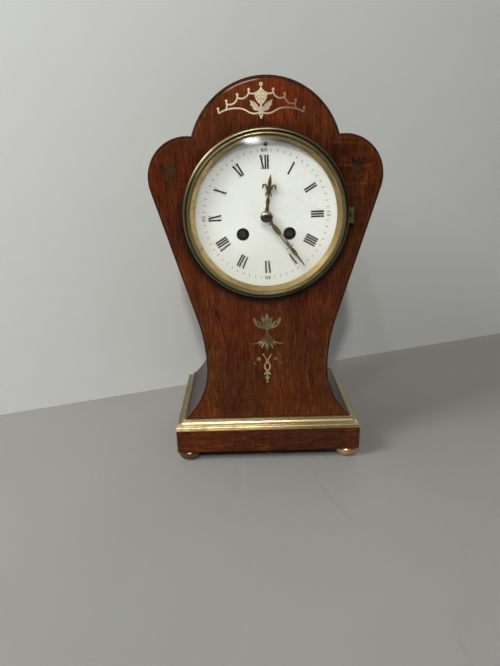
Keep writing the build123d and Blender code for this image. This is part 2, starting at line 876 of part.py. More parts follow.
def toothed(place, teeth, module, y_from, y_to, turn=0.0):
    """Wheel or pinion body with pointed teeth."""
    radius = pitch_radius(teeth, module)
    with BuildSketch(facing(y_from)) as section:
        star(place, teeth, radius + addendum * module, radius - dedendum * module, turn)
    extrude(section.sketch, amount=y_to - y_from, dir=backwards)


def meshing_turn(driver, driver_teeth, driven, driven_teeth):
    """Turn that sets a pinion's gaps on the teeth of a wheel whose first tooth points up."""
    line = atan2(driven[0] - driver[0], driven[1] - driver[1])
    offset = -line * driver_teeth / (2 * pi)
    return line + pi - 2 * pi / driven_teeth * (offset + 0.5)


def pinion(place, leaves, module, wheel_place, wheel_teeth, wheel_level):
    """Pinion in mesh with a wheel at a depth, a little longer than the wheel is thick."""
    turn = meshing_turn(wheel_place, wheel_teeth, place, leaves)
    toothed(place, leaves, module, wheel_level - pinion_overhang, wheel_level + wheel_thickness + pinion_overhang, turn)


def crossings(place, rim_radius, hub_radius, arm_width, level):
    """Windows that leave four arms between a wheel's hub and its rim."""
    with BuildSketch(facing(level)) as windows:
        with Locations(place):
            Circle(rim_radius)
            Circle(hub_radius, mode=Mode.SUBTRACT)
            Rectangle(arm_width, 2 * rim_radius, mode=Mode.SUBTRACT)
            Rectangle(2 * rim_radius, arm_width, mode=Mode.SUBTRACT)
    extrude(windows.sketch, amount=wheel_thickness, dir=backwards, mode=Mode.SUBTRACT)


def wheel(place, teeth, module, level):
    """Crossed-out wheel on its arbor."""
    toothed(place, teeth, module, level, level + wheel_thickness)
    root = pitch_radius(teeth, module) - dedendum * module
    crossings(place, root * 0.86, root * 0.3, root * 0.14, level)


def arbor(place):
    """Arbor between the plates, with a pivot in each of them."""
    rod(place, arbor_radius, plates_front + running_gap, plates_back - running_gap)
    rod(place, pivot_radius, front_plate_front + running_gap, back_plate_back - running_gap)


# Frame: two round plates held apart by four pillars, with a stud for the minute wheel
minute_wheel_front = front_plate_front - 4.8
stud_radius = 1.3
centre_pivot_radius = 1.5
anchor_opening = 3.0
second_rear_radius = 1.3
hammer_rear_radius = 1.3
fine_places = (intermediate_place, third_place, escape_place, pin_place, stop_place, warning_place, fly_place)

with BuildPart() as front_plate:
    rod(centre, plate_radius, front_plate_front, plates_front)
    for place in fine_places + (second_place, hammer_place, anchor_place):
        rod(place, pivot_radius + pivot_gap, front_plate_front, plates_front, Mode.SUBTRACT)
    rod(centre, centre_pivot_radius + pivot_gap, front_plate_front, plates_front, Mode.SUBTRACT)
    for place in winding_places:
        rod(place, winding_journal_radius + pivot_gap, front_plate_front, plates_front, Mode.SUBTRACT)
    rod(minute_wheel_place, stud_radius, minute_wheel_front - running_gap, front_plate_front)
finish(front_plate.part, "front_plate")

with BuildPart() as back_plate:
    rod(centre, plate_radius, plates_back, back_plate_back)
    for place in fine_places + (centre,):
        rod(place, pivot_radius + pivot_gap, plates_back, back_plate_back, Mode.SUBTRACT)
    for place in winding_places:
        rod(place, winding_journal_radius + pivot_gap, plates_back, back_plate_back, Mode.SUBTRACT)
    rod(second_place, second_rear_radius + pivot_gap, plates_back, back_plate_back, Mode.SUBTRACT)
    rod(hammer_place, hammer_rear_radius + pivot_gap, plates_back, back_plate_back, Mode.SUBTRACT)
    rod(anchor_place, anchor_opening, plates_back, back_plate_back, Mode.SUBTRACT)
finish(back_plate.part, "back_plate")

with BuildPart() as plate_pillars:
    for place in pillar_places:
        rod(place, pillar_radius, plates_front, plates_back)
        rod(place, pillar_radius + 0.8, plates_front + plate_gap * 0.44, plates_back - plate_gap * 0.44)
finish(plate_pillars.part, "plate_pillars")

# Spring barrels, each with its great wheel, its mainspring and its winding arbor
great_wheel_root = pitch_radius(barrel_teeth, barrel_module) - dedendum * barrel_module
drum_radius = great_wheel_root - 1.0
drum_bore = drum_radius - barrel_wall
drum_front_wall = barrel_front + barrel_wall
spring_outer = drum_bore - running_gap
core_radius = spring_outer - spring_turns * spring_pitch - spring_thickness - running_gap


def barrel(place):
    """Drum with a toothed back wall, hollow for the mainspring."""
    rod(place, drum_radius, barrel_front, great_wheel_front)
    toothed(place, barrel_teeth, barrel_module, great_wheel_front, barrel_back)
    rod(place, drum_bore, drum_front_wall, great_wheel_front, Mode.SUBTRACT)
    rod(place, winding_journal_radius + pivot_gap, barrel_front, barrel_back, Mode.SUBTRACT)


def spiral(place, outer):
    """Spiral of half turns about two centres, from the outside in."""
    for half_turn in range(2 * spring_turns):
        odd = half_turn % 2
        middle = (place[0] - odd * spring_pitch / 2, place[1])
        CenterArc(middle, outer - half_turn * spring_pitch / 2, 180 * odd, 180)


def mainspring(place):
    """Coiled flat spring that fills the drum down to the arbor's core."""
    outer_start = place[0] + spring_outer
    outer_end = outer_start - spring_turns * spring_pitch
    spring_front = drum_front_wall + running_gap
    with BuildSketch(facing(spring_front)) as section:
        with BuildLine():
            spiral(place, spring_outer)
            spiral(place, spring_outer - spring_thickness)
            Line((outer_start, place[1]), (outer_start - spring_thickness, place[1]))
            Line((outer_end, place[1]), (outer_end - spring_thickness, place[1]))
        make_face()
    extrude(section.sketch, amount=great_wheel_front - running_gap - spring_front, dir=backwards)


def winding_arbor(place):
    """Arbor through the barrel, with its core, its ratchet wheel and its square."""
    ratchet_front = front_plate_front - 2.6
    rod(place, winding_journal_radius, front_plate_front - running_gap, back_plate_back - running_gap)
    rod(place, core_radius, drum_front_wall + running_gap, great_wheel_front - running_gap)
    with BuildSketch(facing(ratchet_front)) as section:
        star(place, ratchet_teeth, ratchet_radius, ratchet_radius - ratchet_depth, 0.0, lean=0.15)
    extrude(section.sketch, amount=front_plate_front - 2 * running_gap - ratchet_front, dir=backwards)
    block(
        place[0] - winding_square / 2,
        place[0] + winding_square / 2,
        dial_edge_front,
        front_plate_front - running_gap,
        place[1] - winding_square / 2,
        place[1] + winding_square / 2,
    )


with BuildPart() as going_barrel:
    barrel(going_place)
finish(going_barrel.part, "going_barrel")

with BuildPart() as strike_barrel:
    barrel(strike_place)
finish(strike_barrel.part, "strike_barrel")

with BuildPart() as going_mainspring:
    mainspring(going_place)
finish(going_mainspring.part, "going_mainspring")

with BuildPart() as strike_mainspring:
    mainspring(strike_place)
finish(strike_mainspring.part, "strike_mainspring")

with BuildPart() as going_winding_arbor:
    winding_arbor(going_place)
finish(going_winding_arbor.part, "going_winding_arbor")

with BuildPart() as strike_winding_arbor:
    winding_arbor(strike_place)
finish(strike_winding_arbor.part, "strike_winding_arbor")

with BuildPart() as clicks:
    for (x, z), side in zip(winding_places, (1, -1)):
        pivot = (x + side * (ratchet_radius + 5) * cos(radians(35)), z - (ratchet_radius + 5) * sin(radians(35)))
        nose_radius = ratchet_radius + running_gap
        nose = (x + side * nose_radius * cos(radians(60)), z - nose_radius * sin(radians(60)))
        with BuildSketch(facing(front_plate_front - 2.4)):
            leaf(pivot, nose, 2.4)
            dot(pivot, 1.9)
        extrude(amount=-1.8)
        rod(pivot, 1.9, front_plate_front - 1.0, front_plate_front)
finish(clicks.part, "clicks")

# Going train
with BuildPart() as intermediate_wheel:
    wheel(intermediate_place, intermediate_teeth, intermediate_module, intermediate_level)
    turn = meshing_turn(going_place, barrel_teeth, intermediate_place, intermediate_leaves)
    toothed(
        intermediate_place,
        intermediate_leaves,
        barrel_module,
        great_wheel_front - pinion_overhang,
        barrel_back + pinion_overhang,
        turn,
    )
    arbor(intermediate_place)
finish(intermediate_wheel.part, "intermediate_wheel")

centre_arbor_radius = 1.1
boss_back = body_front - minute_hand_reach
centre_arbor_front = boss_back - boss_height / 2

with BuildPart() as centre_wheel:
    wheel(centre, centre_teeth, centre_module, centre_level)
    pinion(
        centre, centre_leaves, intermediate_module, intermediate_place, intermediate_teeth, intermediate_level
    )
    rod(centre, arbor_radius, plates_front + running_gap, plates_back - running_gap)
    rod(centre, pivot_radius, plates_back - 1, back_plate_back - running_gap)
    rod(centre, centre_pivot_radius, front_plate_front, plates_front + running_gap)
    rod(centre, centre_arbor_radius, centre_arbor_front, front_plate_front)
finish(centre_wheel.part, "centre_wheel")

with BuildPart() as third_wheel:
    wheel(third_place, third_teeth, third_module, third_level)
    pinion(third_place, third_leaves, centre_module, centre, centre_teeth, centre_level)
    arbor(third_place)
finish(third_wheel.part, "third_wheel")

with BuildPart() as escape_wheel:
    with BuildSketch(facing(escape_level)):
        star(escape_place, escape_teeth, escape_tip_radius, escape_tip_radius - escape_tooth_depth, 0.0, lean=0.3)
    extrude(amount=-wheel_thickness)
    escape_root = escape_tip_radius - escape_tooth_depth
    crossings(escape_place, escape_root * 0.84, escape_root * 0.3, escape_root * 0.16, escape_level)
    pinion(escape_place, escape_leaves, third_module, third_place, third_teeth, third_level)
    arbor(escape_place)
finish(escape_wheel.part, "escape_wheel")

# Anchor with its pallets, its arbor and the crutch that leads the pendulum
anchor_x, anchor_z = anchor_place
crutch_front = back_plate_back + 1.5
crutch_end_z = anchor_z - crutch_length
cock_front = back_plate_back + cock_stand_off
cock_back = cock_front + cock_thickness
crutch_thickness = 1.5
fork_half_width = pendulum_rod_radius + running_gap + 2.0

with BuildPart() as pallets:
    with BuildSketch(facing(escape_level - 1.0)):
        with BuildLine():
            reach = escape_tip_radius
            Polyline(
                (anchor_x, anchor_z + 2.4),
                (anchor_x + reach * 0.92, anchor_z - 0.6),
                (anchor_x + reach * 1.01, anchor_z - 6.0),
                (anchor_x + reach * 0.87, anchor_z - 6.6),
                (anchor_x + reach * 0.76, anchor_z - 2.4),
                (anchor_x, anchor_z - 1.6),
            )
            mirror(about=Plane.YZ)
        make_face()
    extrude(amount=-wheel_thickness - 2.0)
    rod(anchor_place, arbor_radius, plates_front + running_gap, cock_front - running_gap)
    rod(anchor_place, pivot_radius, front_plate_front + running_gap, cock_back - running_gap)
    block(-1.2, 1.2, crutch_front, crutch_front + crutch_thickness, crutch_end_z, anchor_z + 2)
    block(
        -fork_half_width,
        fork_half_width,
        crutch_front,
        pendulum_y + pendulum_rod_radius + 2,
        crutch_end_z - 1.2,
        crutch_end_z + 1.2,
    )
    slot_half = pendulum_rod_radius + running_gap
    block(
        -slot_half,
        slot_half,
        pendulum_y - slot_half,
        pendulum_y + pendulum_rod_radius + 2,
        crutch_end_z - 1.2,
        crutch_end_z + 1.2,
        mode=Mode.SUBTRACT,
    )
finish(pallets.part, "pallets")

strip_half_depth = 2.5
strip_top = anchor_z + 2.8
hook_top = anchor_z - 4.5

with BuildPart() as back_cock:
    block(-12, 12, cock_front, cock_back, anchor_z - 5, anchor_z + 6)
    for side in (1, -1):
        block(min(side * 7, side * 12), max(side * 7, side * 12), back_plate_back, cock_front, anchor_z - 5, anchor_z + 6)
    block(-4, 4, cock_front, cock_back, anchor_z + 6, regulator_place[1] + 4)
    block(-4, 4, cock_back, pendulum_y + strip_half_depth + 1.5, anchor_z + 1, anchor_z + 8)
    block(
        -spring_strip / 2 - running_gap,
        spring_strip / 2 + running_gap,
        pendulum_y - strip_half_depth - running_gap,
        pendulum_y + strip_half_depth + running_gap,
        anchor_z + 1,
        strip_top + running_gap,
        mode=Mode.SUBTRACT,
    )
    rod(anchor_place, pivot_radius + pivot_gap, cock_front, cock_back, Mode.SUBTRACT)
    rod(regulator_place, regulator_radius + pivot_gap, cock_front, cock_back, Mode.SUBTRACT)
finish(back_cock.part, "back_cock")

# Pendulum: suspension spring, rod with its hook and rating nut, and a lens-shaped bob
bob_z = anchor_z - pendulum_length

with BuildPart() as suspension_spring:
    block(
        -spring_strip / 2,
        spring_strip / 2,
        pendulum_y - strip_half_depth,
        pendulum_y + strip_half_depth,
        hook_top,
        strip_top,
    )
finish(suspension_spring.part, "suspension_spring")

bob_bore = pendulum_rod_radius + pivot_gap
nut_radius = 3.6

with BuildPart() as pendulum_rod:
    block(-2.5, 2.5, pendulum_y - 3, pendulum_y + 3, hook_top - 3.5, hook_top)
    with BuildSketch(Plane.XY.offset(hook_top - 3.5)):
        with Locations((0, pendulum_y)):
            Circle(pendulum_rod_radius)
    extrude(amount=bob_z - bob_radius - 5 - hook_top + 3.5)
    with BuildSketch(Plane.XY.offset(bob_z - bob_radius)):
        with Locations((0, pendulum_y)):
            Circle(nut_radius)
    extrude(amount=-2.4)
finish(pendulum_rod.part, "pendulum_rod")

with BuildPart() as pendulum_bob:
    with BuildSketch(Plane.XY.offset(bob_z)):
        with BuildLine():
            half = bob_thickness / 2
            ThreePointArc(
                (0, pendulum_y - half), (bob_radius * 0.62, pendulum_y - half * 0.72), (bob_radius, pendulum_y - 1)
            )
            Line((bob_radius, pendulum_y - 1), (bob_radius, pendulum_y + 1))
            ThreePointArc(
                (bob_radius, pendulum_y + 1), (bob_radius * 0.62, pendulum_y + half * 0.72), (0, pendulum_y + half)
            )
            Line((0, pendulum_y + half), (0, pendulum_y - half))
        make_face()
    revolve(axis=Axis((0, 0, bob_z), (0, 1, 0)))
    with BuildSketch(Plane.XY.offset(bob_z - bob_radius)):
        with Locations((0, pendulum_y)):
            Circle(bob_bore)
    extrude(amount=2 * bob_radius, mode=Mode.SUBTRACT)
finish(pendulum_bob.part, "pendulum_bob")

# Strike train
with BuildPart() as strike_second_wheel:
    wheel(second_place, second_teeth, second_module, intermediate_level)
    turn = meshing_turn(strike_place, barrel_teeth, second_place, second_leaves)
    toothed(
        second_place,
        second_leaves,
        barrel_module,
        great_wheel_front - pinion_overhang,
        barrel_back + pinion_overhang,
        turn,
    )
    rod(second_place, arbor_radius, plates_front + running_gap, plates_back - running_gap)
    rod(second_place, pivot_radius, front_plate_front + running_gap, plates_front + 1)
    rod(second_place, second_rear_radius, plates_back - running_gap, back_plate_back + 3.2)
finish(strike_second_wheel.part, "strike_second_wheel")

count_wheel_radius = 14.0
count_notch = 2.0
strokes_in_twelve_hours = 90

with BuildPart() as count_wheel:
    rod(second_place, count_wheel_radius, back_plate_back + 1.2, back_plate_back + 2.6)
    rod(second_place, 3.0, back_plate_back + running_gap, back_plate_back + 3.0)
    with BuildSketch(facing(back_plate_back + 1.2)):
        strokes = 0
        for hour in range(1, 13):
            strokes += hour + 1
            angle = 360 * strokes / strokes_in_twelve_hours
            with Locations(Location(beyond(second_place, count_wheel_radius, angle), angle)):
                Rectangle(2 * count_notch, count_notch)
    extrude(amount=-1.4, mode=Mode.SUBTRACT)
    rod(
        second_place,
        second_rear_radius + pivot_gap,
        back_plate_back + running_gap,
        back_plate_back + 3.0,
        Mode.SUBTRACT,
    )
finish(count_wheel.part, "count_wheel")

with BuildPart() as pin_wheel:
    wheel(pin_place, pin_teeth, pin_module, pin_level)
    pinion(pin_place, pin_leaves, second_module, second_place, second_teeth, intermediate_level)
    arbor(pin_place)
    for index in range(lifting_pins):
        spot = beyond(pin_place, lifting_pin_spread, 360 * index / lifting_pins)
        rod(spot, lifting_pin_radius, pin_level + wheel_thickness, pin_level + wheel_thickness + 2.6)
finish(pin_wheel.part, "pin_wheel")

with BuildPart() as stop_wheel:
    wheel(stop_place, stop_teeth, stop_module, stop_level)
    pinion(stop_place, stop_leaves, pin_module, pin_place, pin_teeth, pin_level)
    arbor(stop_place)
finish(stop_wheel.part, "stop_wheel")

with BuildPart() as warning_wheel:
    wheel(warning_place, warning_teeth, warning_module, warning_level)
    pinion(warning_place, warning_leaves, stop_module, stop_place, stop_teeth, stop_level)
    arbor(warning_place)
finish(warning_wheel.part, "warning_wheel")

fly_front = warning_level + wheel_thickness + pinion_overhang + 1.5

with BuildPart() as fly:
    pinion(fly_place, fly_leaves, warning_module, warning_place, warning_teeth, warning_level)
    arbor(fly_place)
    block(
        fly_place[0] - fly_radius,
        fly_place[0] + fly_radius,
        fly_front,
        fly_front + fly_length,
        fly_place[1] - 0.3,
        fly_place[1] + 0.3,
    )
finish(fly.part, "fly")

# Bell on its post behind the movement, and the hammer that strikes its rim
bell_place = (bell_place_across, dial_height - bell_place_drop)
bell_mouth = back_plate_back + bell_set_back
bell_crown = bell_mouth + bell_depth
bell_stud_radius = 1.4
bell_axis = Axis((bell_place[0], 0, bell_place[1]), (0, 1, 0))
bell_seat = bell_crown - bell_thickness

with BuildPart() as bell_stand:
    rod(bell_place, 2.4, back_plate_back, bell_seat)
    rod(bell_place, 4.0, back_plate_back, back_plate_back + 2.5)
    rod(bell_place, bell_stud_radius, bell_seat, bell_crown + 2.2)
    rod(bell_place, 3.2, bell_crown, bell_crown + 2.2)
finish(bell_stand.part, "bell_stand")

with BuildPart() as bell:
    with BuildSketch(Plane.XY.offset(bell_place[1])):
        with BuildLine():
            bore = bell_place[0] + bell_stud_radius + pivot_gap
            flat = bell_place[0] + 4.0
            rim = bell_place[0] + bell_radius
            bulge = bell_place[0] + bell_radius * 0.82
            ThreePointArc((rim, bell_mouth), (bulge, bell_mouth + bell_depth * 0.67), (flat, bell_crown))
            Polyline((flat, bell_crown), (bore, bell_crown), (bore, bell_seat), (flat, bell_seat))
            ThreePointArc(
                (flat, bell_seat),
                (bulge - bell_thickness * 0.8, bell_mouth + bell_depth * 0.67 - bell_thickness * 0.7),
                (rim - bell_thickness, bell_mouth),
            )
            Line((rim - bell_thickness, bell_mouth), (rim, bell_mouth))
        make_face()
    revolve(axis=bell_axis)
finish(bell.part, "bell")

hammer_front = bell_mouth + 3.0
head_place = (bell_place[0] - bell_radius - hammer_head_radius - 0.5, bell_place[1])
tail_way = atan2(pin_place[1] - hammer_place[1], pin_place[0] - hammer_place[0])
tail_reach = (
    hypot(pin_place[0] - hammer_place[0], pin_place[1] - hammer_place[1])
    - lifting_pin_spread
    - lifting_pin_radius
    - running_gap
)

with BuildPart() as hammer:
    rod(hammer_place, arbor_radius, plates_front + running_gap, plates_back - running_gap)
    rod(hammer_place, pivot_radius, front_plate_front + running_gap, plates_front + 1)
    rod(hammer_place, hammer_rear_radius, plates_back - running_gap, hammer_front + 2.0)
    with BuildSketch(facing(pin_level + wheel_thickness + 0.5)):
        with BuildLine():
            tail_end = (hammer_place[0] + tail_reach * cos(tail_way), hammer_place[1] + tail_reach * sin(tail_way))
            Line(hammer_place, tail_end)
        trace(line_width=1.4)
    extrude(amount=-1.6)
    with BuildSketch(facing(hammer_front)):
        with BuildLine():
            Line(hammer_place, head_place)
        trace(line_width=2.2)
        dot(hammer_place, 2.4)
    extrude(amount=-2.0)
    rod(head_place, hammer_head_radius, hammer_front - 2.5, hammer_front + 4.5)
finish(hammer.part, "hammer")

# Motion work under the dial, and the hands
cannon_front = boss_back + 0.2
cannon_pipe_radius = centre_arbor_radius + pivot_gap + 0.75
hour_pipe_radius = cannon_pipe_radius + pivot_gap + 0.95
hour_wheel_back = front_plate_front - 3.2
minute_wheel_back = front_plate_front - 1.0
cannon_leaf_back = front_plate_front - 0.6
cannon_leaf_front = front_plate_front - 2.8

with BuildPart() as cannon_pinion:
    turn = meshing_turn(minute_wheel_place, minute_wheel_teeth, centre, cannon_leaves)
    toothed(centre, cannon_leaves, cannon_module, cannon_leaf_front, cannon_leaf_back, turn)
    rod(centre, cannon_pipe_radius, cannon_front, cannon_leaf_back)
    rod(centre, centre_arbor_radius + pivot_gap, cannon_front, cannon_leaf_back, Mode.SUBTRACT)
finish(cannon_pinion.part, "cannon_pinion")

with BuildPart() as minute_wheel:
    toothed(
        minute_wheel_place,
        minute_wheel_teeth,
        cannon_module,
        minute_wheel_back - wheel_thickness,
        minute_wheel_back,
    )
    turn = meshing_turn(centre, hour_wheel_teeth, minute_wheel_place, minute_wheel_leaves)
    toothed(
        minute_wheel_place,
        minute_wheel_leaves,
        hour_module,
        minute_wheel_front,
        minute_wheel_back - wheel_thickness,
        turn,
    )
    rod(minute_wheel_place, stud_radius + pivot_gap, minute_wheel_front, minute_wheel_back, Mode.SUBTRACT)
finish(minute_wheel.part, "minute_wheel")

hour_hand_front = body_front - hour_hand_reach

with BuildPart() as hour_wheel:
    toothed(centre, hour_wheel_teeth, hour_module, hour_wheel_back - wheel_thickness, hour_wheel_back)
    rod(centre, hour_pipe_radius, hour_hand_front, hour_wheel_back)
    rod(centre, cannon_pipe_radius + pivot_gap, hour_hand_front, hour_wheel_back, Mode.SUBTRACT)
finish(hour_wheel.part, "hour_wheel")


def hand_plane(y, angle):
    """Sketch plane centred on the dial whose upward direction points along a hand."""
    return Plane(
        origin=(0, y, dial_height), x_dir=(cos(radians(angle)), 0, -sin(radians(angle))), z_dir=(0, -1, 0)
    )


with BuildPart() as hour_hand:
    with BuildSketch(hand_plane(hour_hand_front, hour_hand_angle)):
        Circle(hour_pipe_radius + 1.4)
        leaf((0, 1.0), (0, 9.6), 3.6)
        leaf((0, 6.8), (0, 16.2), 3.4)
        leaf((0, 12.5), (0, 22.0), 1.9)
        leaf((0, 18.0), (0, hour_hand_length), 3.0)
        leaf((-2.2, 19.9), (2.2, 19.9), 1.4)
        for side in (1, -1):
            leaf((0, 18.6), (side * 3.5, 26.4), 1.9)
            leaf((side * 2.5, 24.6), (side * 5.6, 25.2), 1.2)
            leaf((side * 5.0, 25.7), (side * 5.5, 21.4), 1.3)
            leaf((side * 0.4, 20.8), (side * 3.0, 16.2), 1.4)
            dot((side * 3.2, 25.2), 0.6)
            dot((side * 5.1, 25.0), 0.6)
        dot((0, 19.6), 1.6)
        Circle(hour_pipe_radius + pivot_gap, mode=Mode.SUBTRACT)
    extrude(amount=-hand_thickness)
finish(hour_hand.part, "hour_hand")

with BuildPart() as minute_hand:
    with BuildSketch(hand_plane(boss_back, minute_hand_angle)):
        Circle(cannon_pipe_radius + 2.2)
        leaf((0, 1.0), (0, 9.8), 2.9)
        leaf((-2.3, 6.6), (2.3, 6.6), 1.4)
        leaf((0, 5.6), (0, 21.4), 4.3)
        leaf((0, 14.6), (0, 34.0), 3.3)
        leaf((-3.2, 31.4), (3.2, 31.4), 1.5)
        leaf((0, 30.2), (0, 43.4), 3.6)
        leaf((0, 36.0), (0, minute_hand_length), 1.7)
        dot((0, 28.6), 1.7)
        dot((0, 31.4), 1.2)
        for side in (1, -1):
            dot((side * 2.7, 31.4), 0.6)
        with Locations((0, 22.4)):
            SlotOverall(8.0, 0.9, rotation=90, mode=Mode.SUBTRACT)
        Circle(cannon_pipe_radius + pivot_gap, mode=Mode.SUBTRACT)
    extrude(amount=-hand_thickness)
finish(minute_hand.part, "minute_hand")

with BuildPart() as hand_boss:
    with BuildSketch(turning_plane):
        with BuildLine():
            boss_bore = centre_arbor_radius + pivot_gap
            boss_front = boss_back - boss_height
            arbor_end = centre_arbor_front - running_gap
            Polyline((boss_radius, boss_back - 0.8), (boss_radius, boss_back), (boss_bore, boss_back))
            Polyline((boss_bore, boss_back), (boss_bore, arbor_end), (0, arbor_end), (0, boss_front))
            TangentArc((0, boss_front), (boss_radius, boss_back - 0.8), tangent=(1, 0))
        make_face()
    revolve(axis=dial_axis)
finish(hand_boss.part, "hand_boss")

with BuildPart() as regulator_arbor:
    rod(regulator_place, regulator_radius, dial_edge_front + 1.5, cock_back + running_gap)
    block(-0.8, 0.8, dial_edge_front - 0.3, dial_edge_front + 1.5, regulator_place[1] - 0.8, regulator_place[1] + 0.8)
    rod(regulator_place, regulator_radius + 1.2, cock_back + running_gap, cock_back + 2.0)
    rod(regulator_place, regulator_radius + 0.8, front_plate_front + running_gap, front_plate_front + 1.8)
finish(regulator_arbor.part, "regulator_arbor")

# Back of the clock: the ring in the back board, the straps and screws that draw it to the seat ring, and the door
bridge_front = body_back - back_sleeve_depth
bridge_back = bridge_front + seat_flange
flange_back = body_back + seat_flange
strap_outer = seat_radius - board_gap
strap_screw_x = back_opening_radius - back_bridge_width / 2
door_hinge_x = -(door_radius + knuckle_radius + seat_gap)
door_back = flange_back + seat_gap
door_hinge_y = flange_back + knuckle_radius + seat_gap

with BuildPart() as back_ring:
    with BuildSketch(turning_plane):
        with BuildLine():
            Polyline(
                (back_opening_radius, flange_back),
                (back_flange_radius, flange_back),
                (back_flange_radius, body_back),
                (back_opening_radius + back_ring_wall, body_back),
                (back_opening_radius + back_ring_wall, bridge_front),
                (back_opening_radius - back_bridge_width, bridge_front),
                (back_opening_radius - back_bridge_width, bridge_back),
                (back_opening_radius, bridge_back),
                close=True,
            )
        make_face()
    revolve(axis=dial_axis)
    for side in (1, -1):
        rod((side * strap_screw_x, dial_height), strap_screw_radius + 0.1, bridge_front, bridge_back, Mode.SUBTRACT)
    block(
        door_hinge_x - knuckle_radius / 2,
        door_hinge_x + knuckle_radius / 2,
        flange_back - seat_flange / 2,
        door_hinge_y,
        middle_low,
        middle_high,
    )
    knuckle(door_hinge_x, door_hinge_y, middle_low, middle_high, hinge_pin_radius + pivot_gap)
finish(back_ring.part, "back_ring")

with BuildPart() as straps:
    for side in (1, -1):
        inner = strap_outer - strap_thickness
        foot = back_opening_radius - back_bridge_width
        low = dial_height - strap_width / 2
        high = dial_height + strap_width / 2
        block(*sorted((side * inner, side * strap_outer)), front_plate_front, bridge_front, low, high)
        block(*sorted((side * (plate_radius + 2), side * inner)), front_plate_front, front_plate_front + 2, low, high)
        block(*sorted((side * foot, side * inner)), bridge_front - 2.5, bridge_front, low, high)
        rod(
            (side * strap_screw_x, dial_height),
            strap_screw_radius + 0.1,
            bridge_front - 2.5,
            bridge_front,
            Mode.SUBTRACT,
        )
finish(straps.part, "straps")

with BuildPart() as strap_screws:
    for side in (1, -1):
        spot = (side * strap_screw_x, dial_height)
        rod(spot, strap_screw_radius, bridge_front - 5, bridge_back)
        rod(spot, strap_screw_radius * 1.7, bridge_back, bridge_back + 2.2)
        block(
            spot[0] - 4, spot[0] + 4, bridge_back + 1.4, bridge_back + 2.2, spot[1] - 0.4, spot[1] + 0.4, Mode.SUBTRACT
        )
finish(strap_screws.part, "strap_screws")

with BuildPart() as back_door:
    door_face = door_back + door_thickness
    with BuildSketch(turning_plane):
        with BuildLine():
            dome_radius = back_opening_radius - 4
            TangentArc((0, door_face + door_dome), (dome_radius, door_face), tangent=(1, 0))
            Polyline((dome_radius, door_face), (door_radius, door_face), (door_radius, door_back))
            Line((door_radius, door_back), (dome_radius, door_back))
            TangentArc((0, door_back + door_dome), (dome_radius, door_back), tangent=(1, 0))
            Line((0, door_back + door_dome), (0, door_face + door_dome))
        make_face()
    revolve(axis=dial_axis)
    for z_from, z_to in outer_spans:
        block(door_hinge_x, -door_radius + 2, door_back + seat_gap, door_face, z_from, z_to)
        knuckle(door_hinge_x, door_hinge_y, z_from, z_to, hinge_pin_radius + pivot_gap)
    knob_x = door_radius - knob_inset
    with BuildSketch(turning_plane):
        with BuildLine():
            brow = (knob_x + knob_radius, door_face + knob_height * 0.6)
            neck = (knob_x + knob_radius / 2, door_face + knob_height * 0.4)
            Polyline((knob_x, door_face + knob_height), (knob_x, door_back), (neck[0], door_back), neck, brow)
            TangentArc((knob_x, door_face + knob_height), brow, tangent=(1, 0))
        make_face()
    revolve(axis=Axis((knob_x, 0, dial_height), (0, 1, 0)))
finish(back_door.part, "back_door")

with BuildPart() as hinge_pins:
    for x, y in ((hinge_x, hinge_y), (door_hinge_x, door_hinge_y)):
        with BuildSketch(Plane.XY.offset(outer_spans[0][0])):
            with Locations((x, y)):
                Circle(hinge_pin_radius)
        extrude(amount=outer_spans[1][1] - outer_spans[0][0])
finish(hinge_pins.part, "hinge_pins")
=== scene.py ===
from math import acos, atan2, cos, degrees, hypot, pi, radians, sin, sqrt

import bmesh
import bpy
from mathutils import Matrix, Vector


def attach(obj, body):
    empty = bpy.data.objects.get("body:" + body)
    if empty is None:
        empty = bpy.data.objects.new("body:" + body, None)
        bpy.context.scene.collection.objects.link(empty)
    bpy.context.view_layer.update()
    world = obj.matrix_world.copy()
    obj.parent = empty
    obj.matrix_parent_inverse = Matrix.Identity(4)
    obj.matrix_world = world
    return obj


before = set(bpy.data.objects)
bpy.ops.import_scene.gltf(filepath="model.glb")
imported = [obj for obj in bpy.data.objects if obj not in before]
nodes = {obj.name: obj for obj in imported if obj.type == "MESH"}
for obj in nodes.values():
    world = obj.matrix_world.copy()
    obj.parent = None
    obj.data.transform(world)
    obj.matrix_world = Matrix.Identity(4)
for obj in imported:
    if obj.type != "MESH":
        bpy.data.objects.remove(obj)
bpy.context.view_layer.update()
MM = 0.001

# Stage: a plain pale cloth on a table and a pale plastered wall a little way behind, turned to the clock
# as in the photograph. A soft lamp hangs above the camera, with weaker ones to the left and behind the
# wall, which lets lamplight through, and a window in front shows only in reflections.
scene = bpy.context.scene
scene.view_settings.view_transform = "Standard"


def node(tree, kind, inputs=None, **settings):
    """Shader node with its settings made and its inputs linked or set."""
    made = tree.nodes.new(kind)
    for name, value in settings.items():
        setattr(made, name, value)
    for name, value in (inputs or {}).items():
        if isinstance(value, bpy.types.NodeSocket):
            tree.links.new(value, made.inputs[name])
        else:
            made.inputs[name].default_value = value
    return made


def sums(tree, operation, first, second=0.0, clamp=False):
    """Result of a sum on one or two values."""
    return node(tree, "ShaderNodeMath", {0: first, 1: second}, operation=operation, use_clamp=clamp).outputs[0]


def times(tree, first, *others):
    """Product of two or more values."""
    for other in others:
        first = sums(tree, "MULTIPLY", first, other)
    return first


def weighted(tree, *shares):
    """Sum of values, each multiplied by its weight."""
    total = 0.0
    for value, weight in shares:
        total = sums(tree, "ADD", times(tree, value, weight), total)
    return total


def ease(tree, value, low, high, start=0.0, end=1.0):
    """Value brought smoothly from one range into another."""
    limits = {"Value": value, "From Min": low, "From Max": high, "To Min": start, "To Max": end}
    return node(tree, "ShaderNodeMapRange", limits, interpolation_type="SMOOTHSTEP").outputs["Result"]


